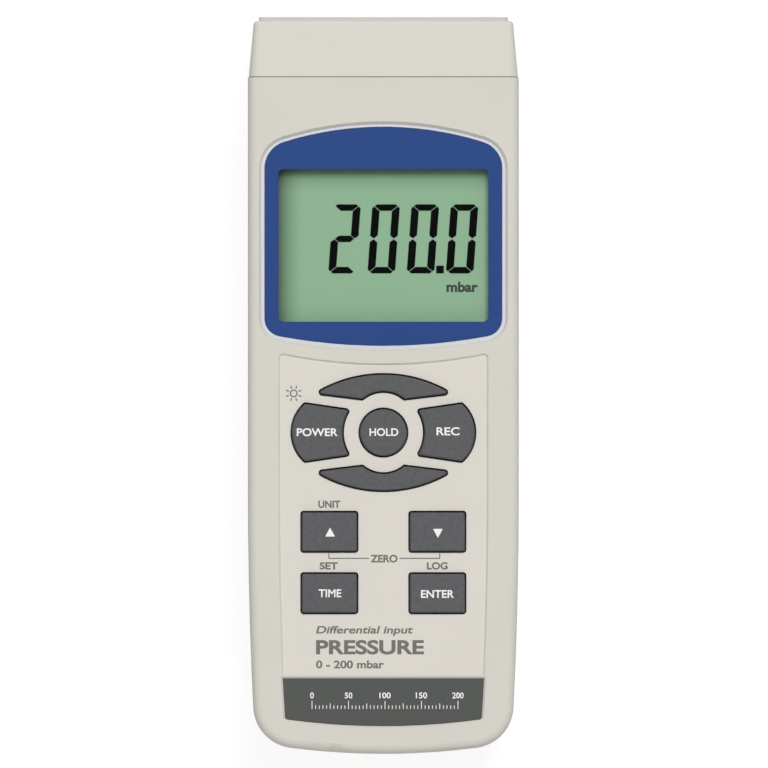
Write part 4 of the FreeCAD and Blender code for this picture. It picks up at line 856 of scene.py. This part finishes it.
class METER_OT_thread(bpy.types.Operator):
    """Winds the thread inside the tripod insert"""

    bl_idname = "meter.thread"
    bl_label = "Tripod thread"

    def execute(self, context):
        sizes = context.scene.meter_sizes
        low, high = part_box("tripod_insert")
        crest, pitch = sizes.thread_crest, sizes.thread_pitch
        depth = sizes.thread_root - crest
        turns = math.floor((high.z - low.z) / pitch) - 1
        shape = bmesh.new()
        bmesh.ops.create_circle(shape, segments=3, radius=1)
        xs, ys, _ = zip(*(vertex.co for vertex in shape.verts))
        inward = depth / (max(ys) - min(ys))
        upward = THREAD_FOOT * pitch / (2 * max(xs))
        # The triangle's tip points to the thread's axis, and its foot stands upright.
        section = Matrix((
            (0, -inward, 0, crest + max(ys) * inward),
            (0, 0, 1, 0),
            (upward, 0, 0, low.z + pitch),
            (0, 0, 0, 1),
        ))
        bmesh.ops.transform(shape, matrix=section, verts=shape.verts[:])
        bmesh.ops.spin(
            shape,
            geom=shape.edges[:],
            axis=(0, 0, 1),
            dvec=(0, 0, pitch / THREAD_STEPS),
            angle=2 * math.pi * turns,
            steps=THREAD_STEPS * turns,
        )
        bmesh.ops.holes_fill(shape, edges=shape.edges[:], sides=3)
        middle = (low + high) / 2
        bmesh.ops.translate(shape, verts=shape.verts[:], vec=(middle.x, middle.y, 0))
        name = "tripod_insert_thread"
        add_piece(name, closed_mesh(name, shape), "meter", "brass")
        return {"FINISHED"}


# Studio

LAMPS = [
    # name, place, size, power
    ("key_light", (0.70, 2.50, 3.80), 2.0, 142.0),
    ("fill_light", (-1.65, 0.20, 4.05), 3.6, 25.0),
    ("foot_light", (0.10, -2.40, 1.40), 2.2, 16.0),
]
WORLD_LEVEL = 0.27  # soft light from all round
FLOOR_REACH = 3.0
FLOOR_DROP = 0.00002  # the floor's gap below the meter
FLOOR_LIT = (0.60, 0.60, 0.59, 1)  # what the floor throws back on the meter
FLOOR_SEEN = (0.22, 0.22, 0.22, 1)  # what keeps the shadow where the floor is seen
FLOOR_GLOW = 0.84
FILM = 36.0
CLIP_START, CLIP_END = 0.01, 20.0
KEYS_PROUD = 0.0006  # the keys' height over the casing's face


def seen_rays(tree):
    """1 where the camera, a gloss or a clear piece shows the surface, and 0 elsewhere."""
    rays = tree.nodes.new("ShaderNodeLightPath").outputs
    seen = calc(tree, "MAXIMUM", rays["Is Camera Ray"], rays["Is Glossy Ray"])
    return calc(tree, "MAXIMUM", seen, rays["Is Transmission Ray"])


def floor_finish():
    """A white floor that keeps the meter's soft shadow."""
    material = bpy.data.materials.new("studio_floor")
    material.use_nodes = True
    tree = material.node_tree
    tree.nodes.remove(tree.nodes["Principled BSDF"])
    lit = add(tree, "ShaderNodeBsdfDiffuse", {"Color": FLOOR_LIT})
    faint = add(tree, "ShaderNodeBsdfDiffuse", {"Color": FLOOR_SEEN})
    glow = add(tree, "ShaderNodeEmission", {"Color": (1, 1, 1, 1), "Strength": FLOOR_GLOW})
    bright = add(tree, "ShaderNodeAddShader", {0: faint.outputs[0], 1: glow.outputs[0]})
    mix = add(
        tree,
        "ShaderNodeMixShader",
        {"Fac": seen_rays(tree), 1: lit.outputs[0], 2: bright.outputs[0]},
    )
    tree.links.new(mix.outputs[0], tree.nodes["Material Output"].inputs["Surface"])
    return material


def lay_floor(scene):
    """A wide floor just below the meter."""
    shape = bmesh.new()
    bmesh.ops.create_grid(shape, x_segments=1, y_segments=1, size=FLOOR_REACH)
    mesh = bpy.data.meshes.new("studio_floor")
    shape.to_mesh(mesh)
    shape.free()
    mesh.transform(Matrix.Translation((0, 0, cad_box[0].z - FLOOR_DROP)))
    floor = bpy.data.objects.new("studio_floor", mesh)
    scene.collection.objects.link(floor)
    clothe(floor, floor_finish())


def hang_lamps(scene):
    """Square soft lamps that face the meter."""
    for name, place, size, power in LAMPS:
        lamp = bpy.data.lights.new(name, "AREA")
        lamp.shape = "SQUARE"
        lamp.size = size
        lamp.energy = power
        holder = bpy.data.objects.new(name, lamp)
        holder.location = place
        holder.rotation_euler = (-Vector(place)).to_track_quat("-Z", "Y").to_euler()
        scene.collection.objects.link(holder)


def light_world(scene):
    """White where it is seen, and soft even light elsewhere."""
    world = bpy.data.worlds.new("studio")
    scene.world = world
    world.use_nodes = True
    tree = world.node_tree
    surround = tree.nodes["Background"]
    surround.inputs["Color"].default_value = (1, 1, 1, 1)
    level = add(
        tree,
        "ShaderNodeMapRange",
        {"Value": seen_rays(tree), "To Min": WORLD_LEVEL, "To Max": 1.0},
    )
    tree.links.new(level.outputs["Result"], surround.inputs["Strength"])


def stand_camera(scene):
    """A camera straight over the meter's face."""
    sizes = scene.meter_sizes
    lens = bpy.data.cameras.new("camera")
    lens.sensor_width = FILM
    lens.lens = FILM * sizes.distance / (PICTURE * sizes.pixel)
    lens.clip_start = CLIP_START
    lens.clip_end = CLIP_END
    camera = bpy.data.objects.new("camera", lens)
    camera.location = (*sizes.aim, cad_box[1].z - KEYS_PROUD + sizes.distance)
    scene.collection.objects.link(camera)
    scene.camera = camera


class METER_OT_studio(bpy.types.Operator):
    """Sets the floor, the soft lights, the world and the camera"""

    bl_idname = "meter.studio"
    bl_label = "Studio"

    def execute(self, context):
        scene = context.scene
        lay_floor(scene)
        light_world(scene)
        hang_lamps(scene)
        stand_camera(scene)
        scene.view_settings.view_transform = "Standard"
        return {"FINISHED"}


# The add-on


class METER_PT_panel(bpy.types.Panel):
    """The manometer's sizes, colours and steps"""

    bl_idname = "METER_PT_panel"
    bl_label = "Digital manometer"
    bl_space_type = "VIEW_3D"
    bl_region_type = "UI"
    bl_category = "Manometer"

    def draw(self, context):
        layout = self.layout
        for group in (context.scene.meter_sizes, context.scene.meter_colours):
            for name in group.__annotations__:
                layout.prop(group, name)
        for step in STEPS:
            layout.operator(step.bl_idname)


STEPS = (
    METER_OT_finishes,
    METER_OT_lettering,
    METER_OT_marks,
    METER_OT_screws,
    METER_OT_thread,
    METER_OT_studio,
)
CLASSES = (METER_sizes, METER_colours, *STEPS, METER_PT_panel)


def register():
    for item in CLASSES:
        bpy.utils.register_class(item)
    bpy.types.Scene.meter_sizes = PointerProperty(type=METER_sizes)
    bpy.types.Scene.meter_colours = PointerProperty(type=METER_colours)


def unregister():
    del bpy.types.Scene.meter_colours
    del bpy.types.Scene.meter_sizes
    for item in reversed(CLASSES):
        bpy.utils.unregister_class(item)


def main():
    register()
    for step in STEPS:
        family, name = step.bl_idname.split(".")
        getattr(getattr(bpy.ops, family), name)()


if __name__ == "__main__":
    main()
